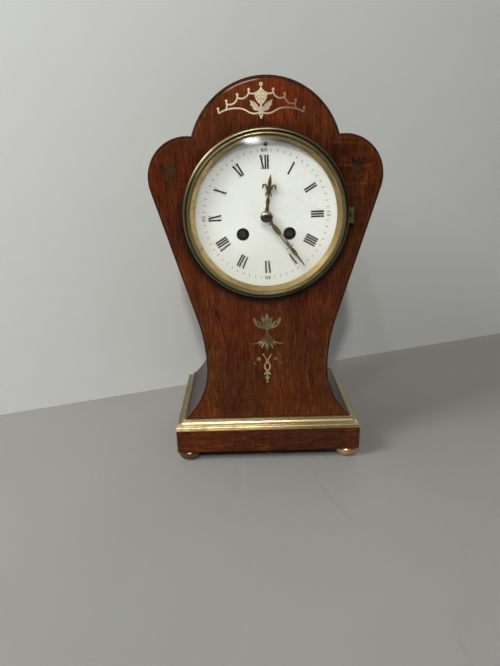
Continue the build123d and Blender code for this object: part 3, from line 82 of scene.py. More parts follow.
def mixed(tree, share, first, second, way="MIX"):
    """Colour mixed from two others."""
    made = node(tree, "ShaderNodeMix", {0: share, 6: first, 7: second}, data_type="RGBA", blend_type=way)
    return made.outputs[2]


def stretched(tree, place, scale):
    """Place multiplied by a scale for each axis."""
    return node(tree, "ShaderNodeVectorMath", {0: place, 1: scale}, operation="MULTIPLY").outputs["Vector"]


def clouds(tree, place, scale, detail=3.0, roughness=0.5, twist=0.0):
    """Soft noise over a place, with one scale or one for each axis."""
    scale = scale if isinstance(scale, tuple) else (scale,) * 3
    inputs = {"Vector": stretched(tree, place, scale), "Scale": 1.0, "Detail": detail}
    inputs.update({"Roughness": roughness, "Distortion": twist})
    return node(tree, "ShaderNodeTexNoise", inputs).outputs["Fac"]


def bump(tree, height, strength, depth):
    """Normal from a height, with its depth in metres."""
    inputs = {"Height": height, "Strength": strength, "Distance": depth}
    return node(tree, "ShaderNodeBump", inputs).outputs["Normal"]


def new_material(name, **values):
    """Material with a Principled shader, its plain values set on the shader's own sockets."""
    made = bpy.data.materials.new(name)
    made.use_nodes = True
    shader = made.node_tree.nodes["Principled BSDF"]
    for label, value in values.items():
        shader.inputs[label.replace("_", " ")].default_value = value
    return made, made.node_tree, shader


def feed(shader, **sources):
    """Links values to the shader's inputs."""
    for label, source in sources.items():
        shader.id_data.links.new(source, shader.inputs[label.replace("_", " ")])


def see_through(tree, shader, share, tint=(1, 1, 1, 1)):
    """Lets light go straight through the surface by a share, with a tint."""
    clear = node(tree, "ShaderNodeBsdfTransparent", {"Color": tint}).outputs["BSDF"]
    made = node(tree, "ShaderNodeMixShader", {0: share, 1: shader.outputs["BSDF"], 2: clear})
    tree.links.new(made.outputs["Shader"], tree.nodes["Material Output"].inputs["Surface"])


def object_place(tree):
    """Place on the object, in metres."""
    return node(tree, "ShaderNodeTexCoord").outputs["Object"]


def distance(tree, centre=(0, 0, 0), scale=(1.0, 0.0, 1.0)):
    """Distance from a centre as seen from the front, in metres or by a scale for each axis."""
    away = node(tree, "ShaderNodeVectorMath", {0: object_place(tree), 1: centre}, operation="SUBTRACT")
    away = stretched(tree, away.outputs["Vector"], scale)
    return node(tree, "ShaderNodeVectorMath", {0: away}, operation="LENGTH").outputs["Value"]


SHARP_FROM = radians(35)


def mesh_object(name, points, faces, material, smooth=False):
    """Object from points in millimetres and faces."""
    mesh = bpy.data.meshes.new(name)
    mesh.from_pydata([Vector(point) * MM for point in points], [], faces)
    mesh.validate()
    shape = bmesh.new()
    shape.from_mesh(mesh)
    bmesh.ops.recalc_face_normals(shape, faces=shape.faces)
    for edge in shape.edges:
        edge.smooth = edge.calc_face_angle(0.0) < SHARP_FROM
    shape.to_mesh(mesh)
    shape.free()
    for polygon in mesh.polygons:
        polygon.use_smooth = smooth
    mesh.materials.append(material)
    made = bpy.data.objects.new(name, mesh)
    scene.collection.objects.link(made)
    return made


cloth, tree, shader = new_material("table_cloth", Roughness=0.9, Specular_IOR_Level=0.2)
place = object_place(tree)
folds = clouds(tree, place, (3.2, 5.5, 4.0), 2.0, 0.45, 0.6)
creases = ease(tree, clouds(tree, place, (7.0, 2.6, 4.0), 2.0, 0.4, 0.9), 0.47, 0.5)
weave = clouds(tree, place, 1400.0, 2.0)
cloth_shade = weighted(tree, (folds, 0.5), (weave, 0.25))
feed(shader, Base_Color=mixed(tree, cloth_shade, (0.265, 0.261, 0.243, 1), (0.308, 0.304, 0.285, 1)))
cloth_height = weighted(tree, (folds, 1.0), (creases, 0.05), (weave, 0.006))
feed(shader, Normal=bump(tree, cloth_height, 0.3, 0.02))

CORNERS = ((-1, -1), (1, -1), (1, 1), (-1, 1))
CARD_FACES = [(0, 1, 2, 3)]
FLOOR_REACH = 2600.0
floor = mesh_object("floor", [(x * FLOOR_REACH, y * FLOOR_REACH, 0) for x, y in CORNERS], CARD_FACES, cloth)

plaster, tree, shader = new_material("plaster", Roughness=0.85, Specular_IOR_Level=0.3)
place = object_place(tree)
patches = clouds(tree, place, 2.2, 4.0, 0.6)
feed(shader, Base_Color=mixed(tree, patches, (0.71, 0.725, 0.70, 1), (0.79, 0.805, 0.78, 1)))
feed(shader, Normal=bump(tree, clouds(tree, place, 30.0, 5.0), 0.12, 0.004))
behind = node(tree, "ShaderNodeNewGeometry").outputs["Backfacing"]
lamp_ray = node(tree, "ShaderNodeLightPath").outputs["Is Shadow Ray"]
see_through(tree, shader, sums(tree, "MAXIMUM", behind, lamp_ray))

WALL_LEFTWARDS = 1500
WALL_RIGHTWARDS = 2200
wall_height = Vector((0, 0, 1900.0))
wall_start = Vector((-303.9, 45.0, 0))
wall_run = Vector((692.5, 238.6, 0)).normalized()
wall_left = wall_start - wall_run * WALL_LEFTWARDS
wall_right = wall_start + wall_run * WALL_RIGHTWARDS
wall_corners = [wall_left, wall_right, wall_right + wall_height, wall_left + wall_height]
wall = mesh_object("wall", wall_corners, CARD_FACES, plaster)

world = bpy.data.worlds.new("room")
scene.world = world
world.use_nodes = True
tree = world.node_tree
sky = node(tree, "ShaderNodeSeparateXYZ", {0: node(tree, "ShaderNodeTexCoord").outputs["Generated"]}).outputs
height_light = ease(tree, sky["Z"], 0.05, 0.9, 0.04, 0.21)
side_light = ease(tree, sky["X"], -1.0, 0.2, 0.12, 0.0)
room = tree.nodes["Background"]
room.inputs["Color"].default_value = (1.0, 0.985, 0.95, 1)
feed(room, Strength=sums(tree, "ADD", height_light, side_light))


def lamp(name, place, aim, power, width, colour):
    """Round lamp at a place, turned to a point, both in metres."""
    data = bpy.data.lights.new(name, "AREA")
    data.shape = "ELLIPSE"
    data.size = width
    data.size_y = width
    data.energy = power
    data.color = colour
    made = bpy.data.objects.new(name, data)
    made.location = place
    made.rotation_euler = (Vector(aim) - Vector(place)).to_track_quat("-Z", "Y").to_euler()
    scene.collection.objects.link(made)


CLOCK_MIDDLE = (0, 0, 0.2)
WALL_MIDDLE = (-0.5, 0.1, 0.3)
WARM_WHITE = (1.0, 0.985, 0.96)
lamp("soft_lamp", (-0.11, -1.63, 1.58), CLOCK_MIDDLE, power=14.2, width=0.11, colour=WARM_WHITE)
lamp("side_lamp", (-0.49, -1.43, 1.73), CLOCK_MIDDLE, power=3.4, width=0.11, colour=WARM_WHITE)
lamp("wall_wash", (-1.0, -0.55, 1.05), WALL_MIDDLE, power=14.0, width=0.5, colour=(0.97, 0.985, 1.0))
lamp("back_fill", (0.6, 1.6, 0.62), CLOCK_MIDDLE, power=6.5, width=0.9, colour=(1.0, 0.98, 0.95))

WINDOW_HALF_WIDTH = 500
WINDOW_HALF_HEIGHT = 140
window_glow, tree, shader = new_material("window_glow", Base_Color=(0, 0, 0, 1), Emission_Strength=1.0)
glow_level = 0.0
for half_width, half_height, edge, brightness in ((0.2, 0.12, 0.0, 18.0), (0.5, 0.14, 0.05, 3.6)):
    out = distance(tree, scale=(1 / half_width, 0.0, 1 / half_height))
    glow_level = sums(tree, "ADD", ease(tree, out, edge, 1.0, brightness, 0.0), glow_level)
glow_colour = node(tree, "ShaderNodeVectorMath", {0: (0.92, 0.97, 1.0), "Scale": glow_level}, operation="SCALE")
feed(shader, Emission_Color=glow_colour.outputs["Vector"])
ray = node(tree, "ShaderNodeLightPath").outputs
see_through(tree, shader, sums(tree, "MAXIMUM", ray["Is Camera Ray"], ray["Is Shadow Ray"]))
window_corners = [(x * WINDOW_HALF_WIDTH, 0, z * WINDOW_HALF_HEIGHT) for x, z in CORNERS]
window = mesh_object("window", window_corners, CARD_FACES, window_glow)
window.location = (-0.148, -1.77, 1.223)
window.rotation_euler = (radians(29), 0, 0)

view_yaw = 0.010899
view_pitch = 0.330321
view_roll = -0.019952
forward = Vector((sin(view_yaw) * cos(view_pitch), cos(view_yaw) * cos(view_pitch), -sin(view_pitch)))
level = Vector((cos(view_yaw), -sin(view_yaw), 0))
rise = level.cross(forward)
right = level * cos(view_roll) + rise * sin(view_roll)
up = rise * cos(view_roll) - level * sin(view_roll)
camera_data = bpy.data.cameras.new("camera")
camera_data.lens = 27.18
camera_data.sensor_width = 36.0
camera = bpy.data.objects.new("camera", camera_data)
camera.matrix_world = Matrix((right, up, -forward)).transposed().to_4x4()
camera.location = (-0.0201, -0.4811, 0.2734)
scene.collection.objects.link(camera)
scene.camera = camera

# Carcase: back board, bent top and shaped sides of solid mahogany, glued up and French polished, with a
# stained softwood board behind the front veneer and a plain one for the floor. The sides are darker
# towards the flared foot, and painted shade darkens them where they meet the brass moulding.


def new_group(name, inputs, outputs):
    """Shader node group with named sockets, and its two ends."""
    group = bpy.data.node_groups.new(name, "ShaderNodeTree")
    for label, kind, value in inputs:
        group.interface.new_socket(name=label, in_out="INPUT", socket_type=kind).default_value = value
    for label, kind in outputs:
        group.interface.new_socket(name=label, in_out="OUTPUT", socket_type=kind)
    return group, group.nodes.new("NodeGroupInput").outputs, group.nodes.new("NodeGroupOutput").inputs


COLOUR = "NodeSocketColor"
VALUE = "NodeSocketFloat"
VECTOR = "NodeSocketVector"

grain, given, put = new_group(
    "wood_grain",
    [
        ("Place", VECTOR, (0, 0, 0)),
        ("Dark", COLOUR, (0, 0, 0, 1)),
        ("Middle", COLOUR, (0, 0, 0, 1)),
        ("Light", COLOUR, (0, 0, 0, 1)),
        ("Figure", VALUE, 0.3),
    ],
    [("Color", COLOUR), ("Roughness", VALUE), ("Height", VALUE)],
)
place = given["Place"]
drift = clouds(grain, place, (30.0, 30.0, 11.0), 4.0, 0.6, 0.8)
streak = clouds(grain, place, (400.0, 400.0, 30.0), 5.0, 0.62, 0.5)
fleck = clouds(grain, place, (820.0, 820.0, 105.0), 3.0, 0.6)
fibre = clouds(grain, place, (1900.0, 1900.0, 60.0), 3.0)
ribbon = clouds(grain, place, (17.0, 17.0, 105.0), 3.0, 0.55, 1.6)
pore = ease(grain, clouds(grain, place, (2300.0, 2300.0, 120.0), 1.0), 0.57, 0.68)
glow = ease(grain, clouds(grain, place, (19.0, 19.0, 15.0), 3.0, 0.5, 0.5), 0.42, 0.66)
tone = 0.5
for cloud, weight in ((drift, 0.85), (streak, 0.45), (fleck, 1.9), (ribbon, given["Figure"])):
    tone = sums(grain, "ADD", times(grain, sums(grain, "SUBTRACT", cloud, 0.5), weight), tone)
wood = mixed(grain, ease(grain, tone, 0.0, 0.55), given["Dark"], given["Middle"])
wood = mixed(grain, ease(grain, tone, 0.5, 1.05), wood, given["Light"])
wood = mixed(grain, glow, wood, (1.25, 1.0, 0.72, 1), "MULTIPLY")
wood = mixed(grain, times(grain, pore, 0.6), wood, (0.22, 0.16, 0.14, 1), "MULTIPLY")
grain.links.new(wood, put["Color"])
grain.links.new(weighted(grain, (fibre, 0.16), (pore, 0.15)), put["Roughness"])
grain.links.new(weighted(grain, (fibre, 0.35), (pore, -1.0)), put["Height"])

ALONG_Z = (0.0, 0.0, 0.0)
ALONG_X = (0.0, radians(90), 0.0)
POLISH = 0.14
CURLY_FIGURE = 2.6


def wooden(name, dark, middle, light, figure, roughness, polish=POLISH, turn=ALONG_Z, curl=None):
    """Wood with its grain along one axis under a coat of polish, with curly figure about one place if any."""
    made, tree, shader = new_material(name, Coat_Roughness=0.14, Coat_IOR=1.45, Specular_IOR_Level=0.16)
    shader.inputs["Coat Weight"].default_value = polish
    place = node(tree, "ShaderNodeMapping", {"Vector": object_place(tree), "Rotation": turn}).outputs["Vector"]
    inputs = {"Place": place, "Dark": dark, "Middle": middle, "Light": light, "Figure": figure}
    if curl:
        inputs["Figure"] = ease(tree, distance(tree, curl), 0.010, 0.034, CURLY_FIGURE, figure)
    figured = node(tree, "ShaderNodeGroup", inputs, node_tree=grain).outputs
    hands = clouds(tree, object_place(tree), 26.0, 4.0, 0.6)
    rubbed = weighted(tree, (figured["Roughness"], 1.0), (hands, 0.18))
    feed(shader, Base_Color=figured["Color"], Roughness=sums(tree, "ADD", rubbed, roughness))
    feed(shader, Normal=bump(tree, figured["Height"], 0.12, 0.0002))
    return made


def axis_place(tree, axis):
    """Place on the object along one axis, in metres."""
    return node(tree, "ShaderNodeSeparateXYZ", {0: object_place(tree)}).outputs[axis]


def overlay(material, share, colour, way="MIX"):
    """Lays a colour over a material's own by a share, or multiplies the two."""
    tree = material.node_tree
    skin = tree.nodes["Principled BSDF"].inputs["Base Color"]
    tree.links.new(mixed(tree, share, skin.links[0].from_socket, colour, way), skin)


def dressed(material, *names):
    """Gives CAD nodes their material."""
    for name in names:
        if not nodes[name].material_slots:
            nodes[name].data.materials.append(material)
        for held in nodes[name].material_slots:
            held.material = material


AGED_MAHOGANY = ((0.022, 0.0049, 0.0011, 1), (0.056, 0.0134, 0.0027, 1), (0.100, 0.029, 0.0075, 1))
SIDE_MAHOGANY = ((0.020, 0.0048, 0.0012, 1), (0.046, 0.0115, 0.0026, 1), (0.085, 0.026, 0.007, 1))
SOFTWOOD = ((0.20, 0.11, 0.05, 1), (0.30, 0.18, 0.09, 1), (0.40, 0.26, 0.14, 1))
STAINED_SOFTWOOD = ((0.022, 0.006, 0.0018, 1), (0.050, 0.014, 0.004, 1), (0.090, 0.030, 0.009, 1))
SIDE_POLISH = 0.16
upright_mahogany = wooden("mahogany_upright", *AGED_MAHOGANY, figure=0.7, roughness=0.22)
lengthwise_mahogany = wooden("mahogany_lengthwise", *AGED_MAHOGANY, figure=0.5, roughness=0.22, turn=ALONG_X)
softwood = wooden("softwood", *SOFTWOOD, figure=0.2, roughness=0.45, polish=0.0)
side_mahogany = wooden("mahogany_sides", *SIDE_MAHOGANY, figure=0.4, roughness=0.20, polish=SIDE_POLISH)
stained_softwood = wooden("softwood_stained", *STAINED_SOFTWOOD, figure=0.2, roughness=0.24, polish=0.12)
tree = side_mahogany.node_tree
upwards = axis_place(tree, "Z")
darkened = ease(tree, upwards, 0.105, 0.080, 0.0, 0.75)
overlay(side_mahogany, darkened, (0.009, 0.0075, 0.0050, 1))
# Painted shade: the sides are darkened where they meet the brass moulding.
painted_shade = ease(tree, upwards, 0.0450, 0.0420, 0.0, 0.97)
overlay(side_mahogany, painted_shade, (0.004, 0.0025, 0.0015, 1))
feed(tree.nodes["Principled BSDF"], Coat_Weight=ease(tree, upwards, 0.0420, 0.0450, 0.0, SIDE_POLISH))
dressed(side_mahogany, "left_side", "right_side")
dressed(upright_mahogany, "back_board")
dressed(lengthwise_mahogany, "top_arch")
dressed(stained_softwood, "front_board")
dressed(softwood, "floor_board")

# Front veneer: one leaf of upright mahogany, with a painted sheen on its top and a painted shadow round
# the bezel, strongest below it, and a banding of the same wood round its edge with a thin light line
# between the two, lit by a painted highlight at the top left. A dark line runs on the arris, and a fine
# light line, mostly lost, round the lower panel.
BODY_FRONT = -53.0
DIAL_HEIGHT = 229.3
TOP_RADIUS = 62.0
TOP_CENTRE = (0.0, DIAL_HEIGHT + 44.2)
LOBE_RADIUS = 32.7
LOBE_CENTRE = (63.3, DIAL_HEIGHT + 30.7)
WAIST_HALF = 55.4
WAIST_HEIGHT = 94.0
WAIST_RADIUS = 162.0
FOOT_HALF = 78.8
FLARE_BOTTOM = 41.1
CASE_TOP = TOP_CENTRE[1] + TOP_RADIUS
FLARE_RUN = FOOT_HALF - WAIST_HALF
FLARE_RISE = WAIST_HEIGHT - FLARE_BOTTOM
FLARE_RADIUS = (FLARE_RUN**2 + FLARE_RISE**2) / (2 * FLARE_RUN)


def bend(centre, radius, start, end, steps):
    """Points of an arc between two angles, in degrees from across towards up."""
    angles = [radians(start + (end - start) * step / steps) for step in range(steps + 1)]
    return [(centre[0] + radius * cos(angle), centre[1] + radius * sin(angle)) for angle in angles]


def bearing(centre, point):
    """Angle of a point about a centre, in degrees."""
    return degrees(atan2(point[1] - centre[1], point[0] - centre[0]))


def right_edge(inset):
    """Right half of the case's outline, drawn in by an inset, from the top down to the plinth."""
    top = TOP_RADIUS - inset
    lobe = LOBE_RADIUS - inset
    run = (LOBE_CENTRE[0] - TOP_CENTRE[0], LOBE_CENTRE[1] - TOP_CENTRE[1])
    gap = hypot(*run)
    along = (gap**2 + top**2 - lobe**2) / (2 * gap)
    across = sqrt(top**2 - along**2)
    notch = (
        TOP_CENTRE[0] + (run[0] * along - run[1] * across) / gap,
        TOP_CENTRE[1] + (run[1] * along + run[0] * across) / gap,
    )
    waist_centre = (WAIST_HALF + WAIST_RADIUS, WAIST_HEIGHT)
    flare_centre = (WAIST_HALF + FLARE_RADIUS, WAIST_HEIGHT)
    reach = (waist_centre[0] - LOBE_CENTRE[0], waist_centre[1] - LOBE_CENTRE[1])
    lean = degrees(atan2(reach[1], reach[0]) + acos((LOBE_RADIUS + WAIST_RADIUS) / hypot(*reach)))
    flare = FLARE_RADIUS + inset
    foot = (flare_centre[0] - sqrt(flare**2 - FLARE_RISE**2), FLARE_BOTTOM)
    points = bend(TOP_CENTRE, top, 90, bearing(TOP_CENTRE, notch), 40)
    points += bend(LOBE_CENTRE, lobe, bearing(LOBE_CENTRE, notch), lean, 48)
    points += bend(waist_centre, WAIST_RADIUS + inset, lean + 180, 180, 24)
    points += bend(flare_centre, flare, 180, bearing(flare_centre, foot) % 360, 24)
    return points


def mirrored(points):
    """Points carried over the middle line, in the opposite order."""
    return [(-x, z) for x, z in reversed(points)]


LINE_FRONT = BODY_FRONT - 0.04
LINE_DEPTH = 0.06


def strip(outer, inner, front=LINE_FRONT, depth=LINE_DEPTH):
    """Points and faces of a thin strip between two lines of as many points, laid flat on the front."""
    points = [(x, front, z) for x, z in outer] + [(x, front, z) for x, z in inner]
    points += [(x, front + depth, z) for x, z in outer] + [(x, front + depth, z) for x, z in inner]
    count = len(outer)
    faces = []
    for index in range(count - 1):
        a, b, c, d = index, index + 1, count + index + 1, count + index
        faces.append((a, b, c, d))
        faces.append((a, a + 2 * count, b + 2 * count, b))
        faces.append((d, c, c + 2 * count, d + 2 * count))
    faces.append((0, count, 3 * count, 2 * count))
    faces.append((count - 1, 3 * count - 1, 4 * count - 1, 2 * count - 1))
    return points, faces


def joined(parts):
    """Several lists of points and faces as one."""
    points, faces = [], []
    for some_points, some_faces in parts:
        start = len(points)
        points += some_points
        faces += [tuple(index + start for index in face) for face in some_faces]
    return points, faces


def offset_line(line, half):
    """The two lines that run beside a line at half a width."""
    sides = ([], [])
    for index, (x, z) in enumerate(line):
        before = line[max(index - 1, 0)]
        after = line[min(index + 1, len(line) - 1)]
        run = (after[0] - before[0], after[1] - before[1])
        length = hypot(*run) or 1.0
        for side, way in zip(sides, (1, -1)):
            side.append((x - way * run[1] / length * half, z + way * run[0] / length * half))
    return sides


def fine_line(line, width, front=LINE_FRONT, depth=LINE_DEPTH):
    """Strip of one width along a line."""
    return strip(*offset_line(line, width / 2), front, depth)


def on_case(name, parts, material):
    """Piece that is fixed to the case."""
    points, faces = joined(parts)
    made = mesh_object(name, points, faces, material)
    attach(made, "case")


def from_dial(tree):
    """Distance from the dial's axis, in metres."""
    return distance(tree, (0, 0, DIAL_HEIGHT * MM))


VENEER = ((0.029, 0.0050, 0.0009, 1), (0.082, 0.0168, 0.0026, 1), (0.160, 0.044, 0.0085, 1))
BANDING = ((0.023, 0.0046, 0.0011, 1), (0.066, 0.0150, 0.0031, 1), (0.13, 0.037, 0.009, 1))
TULIPWOOD = ((0.050, 0.014, 0.0035, 1), (0.105, 0.036, 0.010, 1), (0.19, 0.085, 0.030, 1))
BOXWOOD = ((0.12, 0.06, 0.022, 1), (0.21, 0.115, 0.045, 1), (0.31, 0.19, 0.08, 1))
EBONY = ((0.006, 0.002, 0.0008, 1), (0.013, 0.0045, 0.0016, 1), (0.026, 0.009, 0.0032, 1))
ROSEWOOD = ((0.020, 0.0050, 0.0014, 1), (0.042, 0.0110, 0.0028, 1), (0.075, 0.022, 0.006, 1))
CURL_PLACE = (0.064, 0.0, 0.266)
veneer_mahogany = wooden("mahogany_veneer", *VENEER, figure=0.35, roughness=0.22, curl=CURL_PLACE)
banding_mahogany = wooden("mahogany_banding", *BANDING, figure=0.4, roughness=0.24)
tulipwood = wooden("tulipwood_line", *TULIPWOOD, figure=0.3, roughness=0.25)
boxwood = wooden("boxwood_line", *BOXWOOD, figure=0.3, roughness=0.25)
ebony = wooden("dark_line", *EBONY, figure=0.2, roughness=0.25)
rosewood = wooden("rosewood_line", *ROSEWOOD, figure=0.2, roughness=0.25)

tree = veneer_mahogany.node_tree
upwards = axis_place(tree, "Z")
# Painted sheen: the top of the veneer is lightened.
painted_top_sheen = ease(tree, upwards, 0.285, 0.328)
overlay(veneer_mahogany, painted_top_sheen, (1.75, 1.6, 1.3, 1), "MULTIPLY")
warmed = ease(tree, upwards, 0.130, 0.080)
overlay(veneer_mahogany, warmed, (1.07, 1.26, 1.0, 1), "MULTIPLY")
# Painted shadow of the bezel: the veneer round it is darkened, most of all below it.
near_bezel = ease(tree, from_dial(tree), 0.0698, 0.0785, 0.95, 0.0)
painted_shade = times(tree, near_bezel, ease(tree, upwards, 0.255, 0.19, 0.3, 1.0))
overlay(veneer_mahogany, painted_shade, (0.005, 0.0013, 0.0005, 1))
tree = tulipwood.node_tree
across = axis_place(tree, "X")
# Painted highlight: the stringing is lightened along the top left of the case.
left_of_top = times(tree, ease(tree, across, -0.034, -0.026), ease(tree, across, -0.003, -0.009))
painted_stringing_highlight = times(tree, left_of_top, ease(tree, axis_place(tree, "Z"), 0.308, 0.316, 0.0, 0.85))
overlay(tulipwood, painted_stringing_highlight, (0.62, 0.48, 0.34, 1))
dressed(veneer_mahogany, "front_veneer")
dressed(banding_mahogany, "edge_banding")
dressed(tulipwood, "edge_stringing")

ARRIS_INSETS = (0.15, 0.85)
arris = [right_edge(inset) for inset in ARRIS_INSETS]
on_case("arris_line", [strip(*arris), strip(*map(mirrored, arris))], rosewood)

PANEL_WAIST = (36.2, 92.0)
PANEL_TOP = (46.0, 160.5)
PANEL_FOOT = (42.0, 60.5)
PANEL_STEPS = 24
KEPT_FROM = 13
KEPT_FOOT = PANEL_FOOT[0] - 5.0
FOOT_CORNER = PANEL_FOOT[0] + 0.2
KEPT_WIDTH = 0.34
panel_flank = []
for step in range(PANEL_STEPS + 1):
    height = PANEL_TOP[1] + (PANEL_FOOT[1] - PANEL_TOP[1]) * step / PANEL_STEPS
    above = max(height - PANEL_WAIST[1], 0) / (PANEL_TOP[1] - PANEL_WAIST[1])
    below = max(PANEL_WAIST[1] - height, 0) / (PANEL_WAIST[1] - PANEL_FOOT[1])
    across = PANEL_WAIST[0] + (PANEL_TOP[0] - PANEL_WAIST[0]) * above**1.6
    panel_flank.append((across + (PANEL_FOOT[0] - PANEL_WAIST[0]) * below**2, height))


def panel_foot(left, right, width):
    """Part of the level line at the foot of the panel."""
    return fine_line([(left, PANEL_FOOT[1]), (right, PANEL_FOOT[1])], width)


kept_parts = [fine_line(panel_flank[KEPT_FROM:], KEPT_WIDTH), panel_foot(KEPT_FOOT, FOOT_CORNER, KEPT_WIDTH)]
on_case("panel_line", kept_parts, boxwood)
lost_parts = [fine_line(mirrored(panel_flank), 0.5), fine_line(panel_flank[: KEPT_FROM + 1], 0.3)]
lost_parts.append(panel_foot(-FOOT_CORNER, KEPT_FOOT, 0.35))
on_case("lost_panel_line", lost_parts, ebony)

scar = (
    (-48.6, 157.0, 0.1),
    (-47.4, 154.4, 0.3),
    (-46.4, 151.2, 0.5),
    (-45.0, 148.6, 1.0),
    (-44.3, 145.0, 1.6),
    (-43.0, 141.4, 1.2),
    (-42.4, 137.6, 0.2),
)
scar_sides = [[(x + way * width / 2, z) for x, z, width in scar] for way in (-1, 1)]
on_case("veneer_scar", [strip(*scar_sides, BODY_FRONT - 0.02, 0.05)], ebony)

# Inlays: a crest, two sprays and a pendant sawn from sheet brass, let flush into the veneer and
# engraved with veins and outlines that are filled with dark wax. The sprays have gone almost black.
aging, given, put = new_group(
    "metal_age",
    [
        ("Place", VECTOR, (0, 0, 0)),
        ("Clean", COLOUR, (0, 0, 0, 1)),
        ("Tarnish", COLOUR, (0, 0, 0, 1)),
        ("Amount", VALUE, 0.5),
    ],
    [("Color", COLOUR), ("Roughness", VALUE), ("Height", VALUE)],
)
bloom = clouds(aging, given["Place"], 70.0, 5.0, 0.6, 0.3)
fleck = clouds(aging, given["Place"], 900.0, 2.0)
scratch = clouds(aging, given["Place"], (60.0, 900.0, 2400.0), 2.0)
dullness = sums(aging, "ADD", bloom, times(aging, sums(aging, "SUBTRACT", fleck, 0.5), 0.12))
dullness = sums(aging, "MULTIPLY", ease(aging, dullness, 0.38, 0.72), given["Amount"], clamp=True)
aging.links.new(mixed(aging, dullness, given["Clean"], given["Tarnish"]), put["Color"])
aging.links.new(weighted(aging, (dullness, 0.22), (scratch, 0.08)), put["Roughness"])
aging.links.new(weighted(aging, (scratch, 1.0), (bloom, 0.8)), put["Height"])


def metal(name, clean, tarnish, amount, roughness, relief=0.05, bare=1.0, tarnish_and_shade_from=None):
    """Metal with tarnish clouds and fine scratches, bare or under a dull skin that may thicken to one side, as
    tarnish on some pieces and as painted shade on others.
    """
    made, tree, shader = new_material(name, Metallic=bare)
    inputs = {"Place": object_place(tree), "Clean": clean, "Tarnish": tarnish, "Amount": amount}
    aged = node(tree, "ShaderNodeGroup", inputs, node_tree=aging).outputs
    feed(shader, Base_Color=aged["Color"], Roughness=sums(tree, "ADD", aged["Roughness"], roughness))
    feed(shader, Normal=bump(tree, aged["Height"], relief, 0.0001))
    if tarnish_and_shade_from:
        overlay(made, ease(tree, axis_place(tree, "X"), *tarnish_and_shade_from, 0.0, 0.88), tarnish)
    return made


crest_brass = metal(
    "crest_brass", (1.0, 0.86, 0.60, 1), (0.17, 0.085, 0.036, 1),
    amount=0.3, roughness=0.38, bare=0.4, tarnish_and_shade_from=(-0.008, 0.022),
)
pendant_brass = metal(
    "pendant_brass", (0.78, 0.64, 0.33, 1), (0.17, 0.108, 0.045, 1),
    amount=1.1, roughness=0.36, bare=0.6,
)
tree = pendant_brass.node_tree
upper_flower = ease(tree, axis_place(tree, "Z"), 0.122, 0.132, 0.0, 0.62)
outer_ends = ease(tree, sums(tree, "ABSOLUTE", axis_place(tree, "X")), 0.0060, 0.0090, 0.0, 0.7)
overlay(pendant_brass, sums(tree, "MAXIMUM", upper_flower, outer_ends), (0.15, 0.10, 0.045, 1))
dark_inlay = metal(
    "dark_inlay", (0.070, 0.040, 0.016, 1), (0.012, 0.006, 0.003, 1),
    amount=1.0, roughness=0.45, bare=0.5,
)
dark_inlay.node_tree.nodes["Principled BSDF"].inputs["Specular IOR Level"].default_value = 0.15
dressed(crest_brass, "crest_inlay")
dressed(pendant_brass, "pendant_inlay")
dressed(dark_inlay, "shoulder_inlays")

wax, tree, shader = new_material("engraving_wax", Roughness=0.55)
wax_grain = clouds(tree, object_place(tree), 900.0, 2.0)
feed(shader, Base_Color=mixed(tree, wax_grain, (0.012, 0.006, 0.003, 1), (0.045, 0.022, 0.010, 1)))

CUT_FRONT = BODY_FRONT - 0.03
CUT_DEPTH = 0.05
CUT_WIDTH = 0.22
BROAD_CUT = 0.4
VEIN_STEPS = 8
HOLLOW_SIDES = 24
CREST_SHIFT = -3.3
cuts = []


def vein(base, tip, sway=0.0, width=CUT_WIDTH):
    """Engraved line between two places, bowed to one side."""
    run = (tip[0] - base[0], tip[1] - base[1])
    line = []
    for step in range(VEIN_STEPS + 1):
        share = step / VEIN_STEPS
        bow = sway * 4 * share * (1 - share)
        line.append((base[0] + run[0] * share - run[1] * bow, base[1] + run[1] * share + run[0] * bow))
    cuts.append(fine_line(line, width, CUT_FRONT, CUT_DEPTH))


def walled(top, bottom):
    """Points and faces of a flat shape with as many points below, joined by its walls."""
    count = len(top)
    faces = [tuple(range(count))]
    faces += [(side, side + count, (side + 1) % count + count, (side + 1) % count) for side in range(count)]
    return top + bottom, faces


def punched(middle, radius):
    """Round hollow punched into the brass and filled."""
    ring = bend(middle, radius, 0, 360 - 360 / HOLLOW_SIDES, HOLLOW_SIDES - 1)
    cuts.append(walled(*([(x, depth, z) for x, z in ring] for depth in (CUT_FRONT, CUT_FRONT + CUT_DEPTH))))


def crest(side, across, drop):
    """Place in the crest: across from its middle, and down from the top of the case."""
    return (CREST_SHIFT + side * across, CASE_TOP - drop)


def pendant(side, across, rise):
    """Place in the pendant: across, and up from the waist."""
    return (side * across, WAIST_HEIGHT + rise)


punched(crest(1, 0, 6.4), 0.5)
punched(crest(1, 0, 28.2), 0.6)
punched(pendant(1, 0, 35.4), 0.45)
punched(pendant(1, 0, 5.6), 0.55)
for start, end in ((10.4, 20.4), (22.0, 26.0)):
    vein(crest(1, 0, start), crest(1, 0, end))
for start, end in ((38.2, 49.4), (33.0, 16.2), (-4.9, -9.0), (-10.0, -13.8)):
    vein(pendant(1, 0, start), pendant(1, 0, end))
crest_veins = (
    ((0.5, 11.8), (4.0, 13.4), 0.1),
    ((0.5, 14.0), (3.7, 15.8), 0.1),
    ((0.5, 16.4), (2.6, 18.0), 0.1),
    ((1.0, 25.6), (8.3, 18.1), 0.05),
    ((3.2, 23.3), (2.9, 21.6), 0.0),
    ((5.0, 21.4), (4.8, 19.8), 0.0),
    ((6.6, 19.8), (6.6, 18.4), 0.0),
    ((4.0, 22.6), (8.0, 20.9), 0.0),
    ((2.2, 24.8), (6.2, 23.6), 0.0),
)
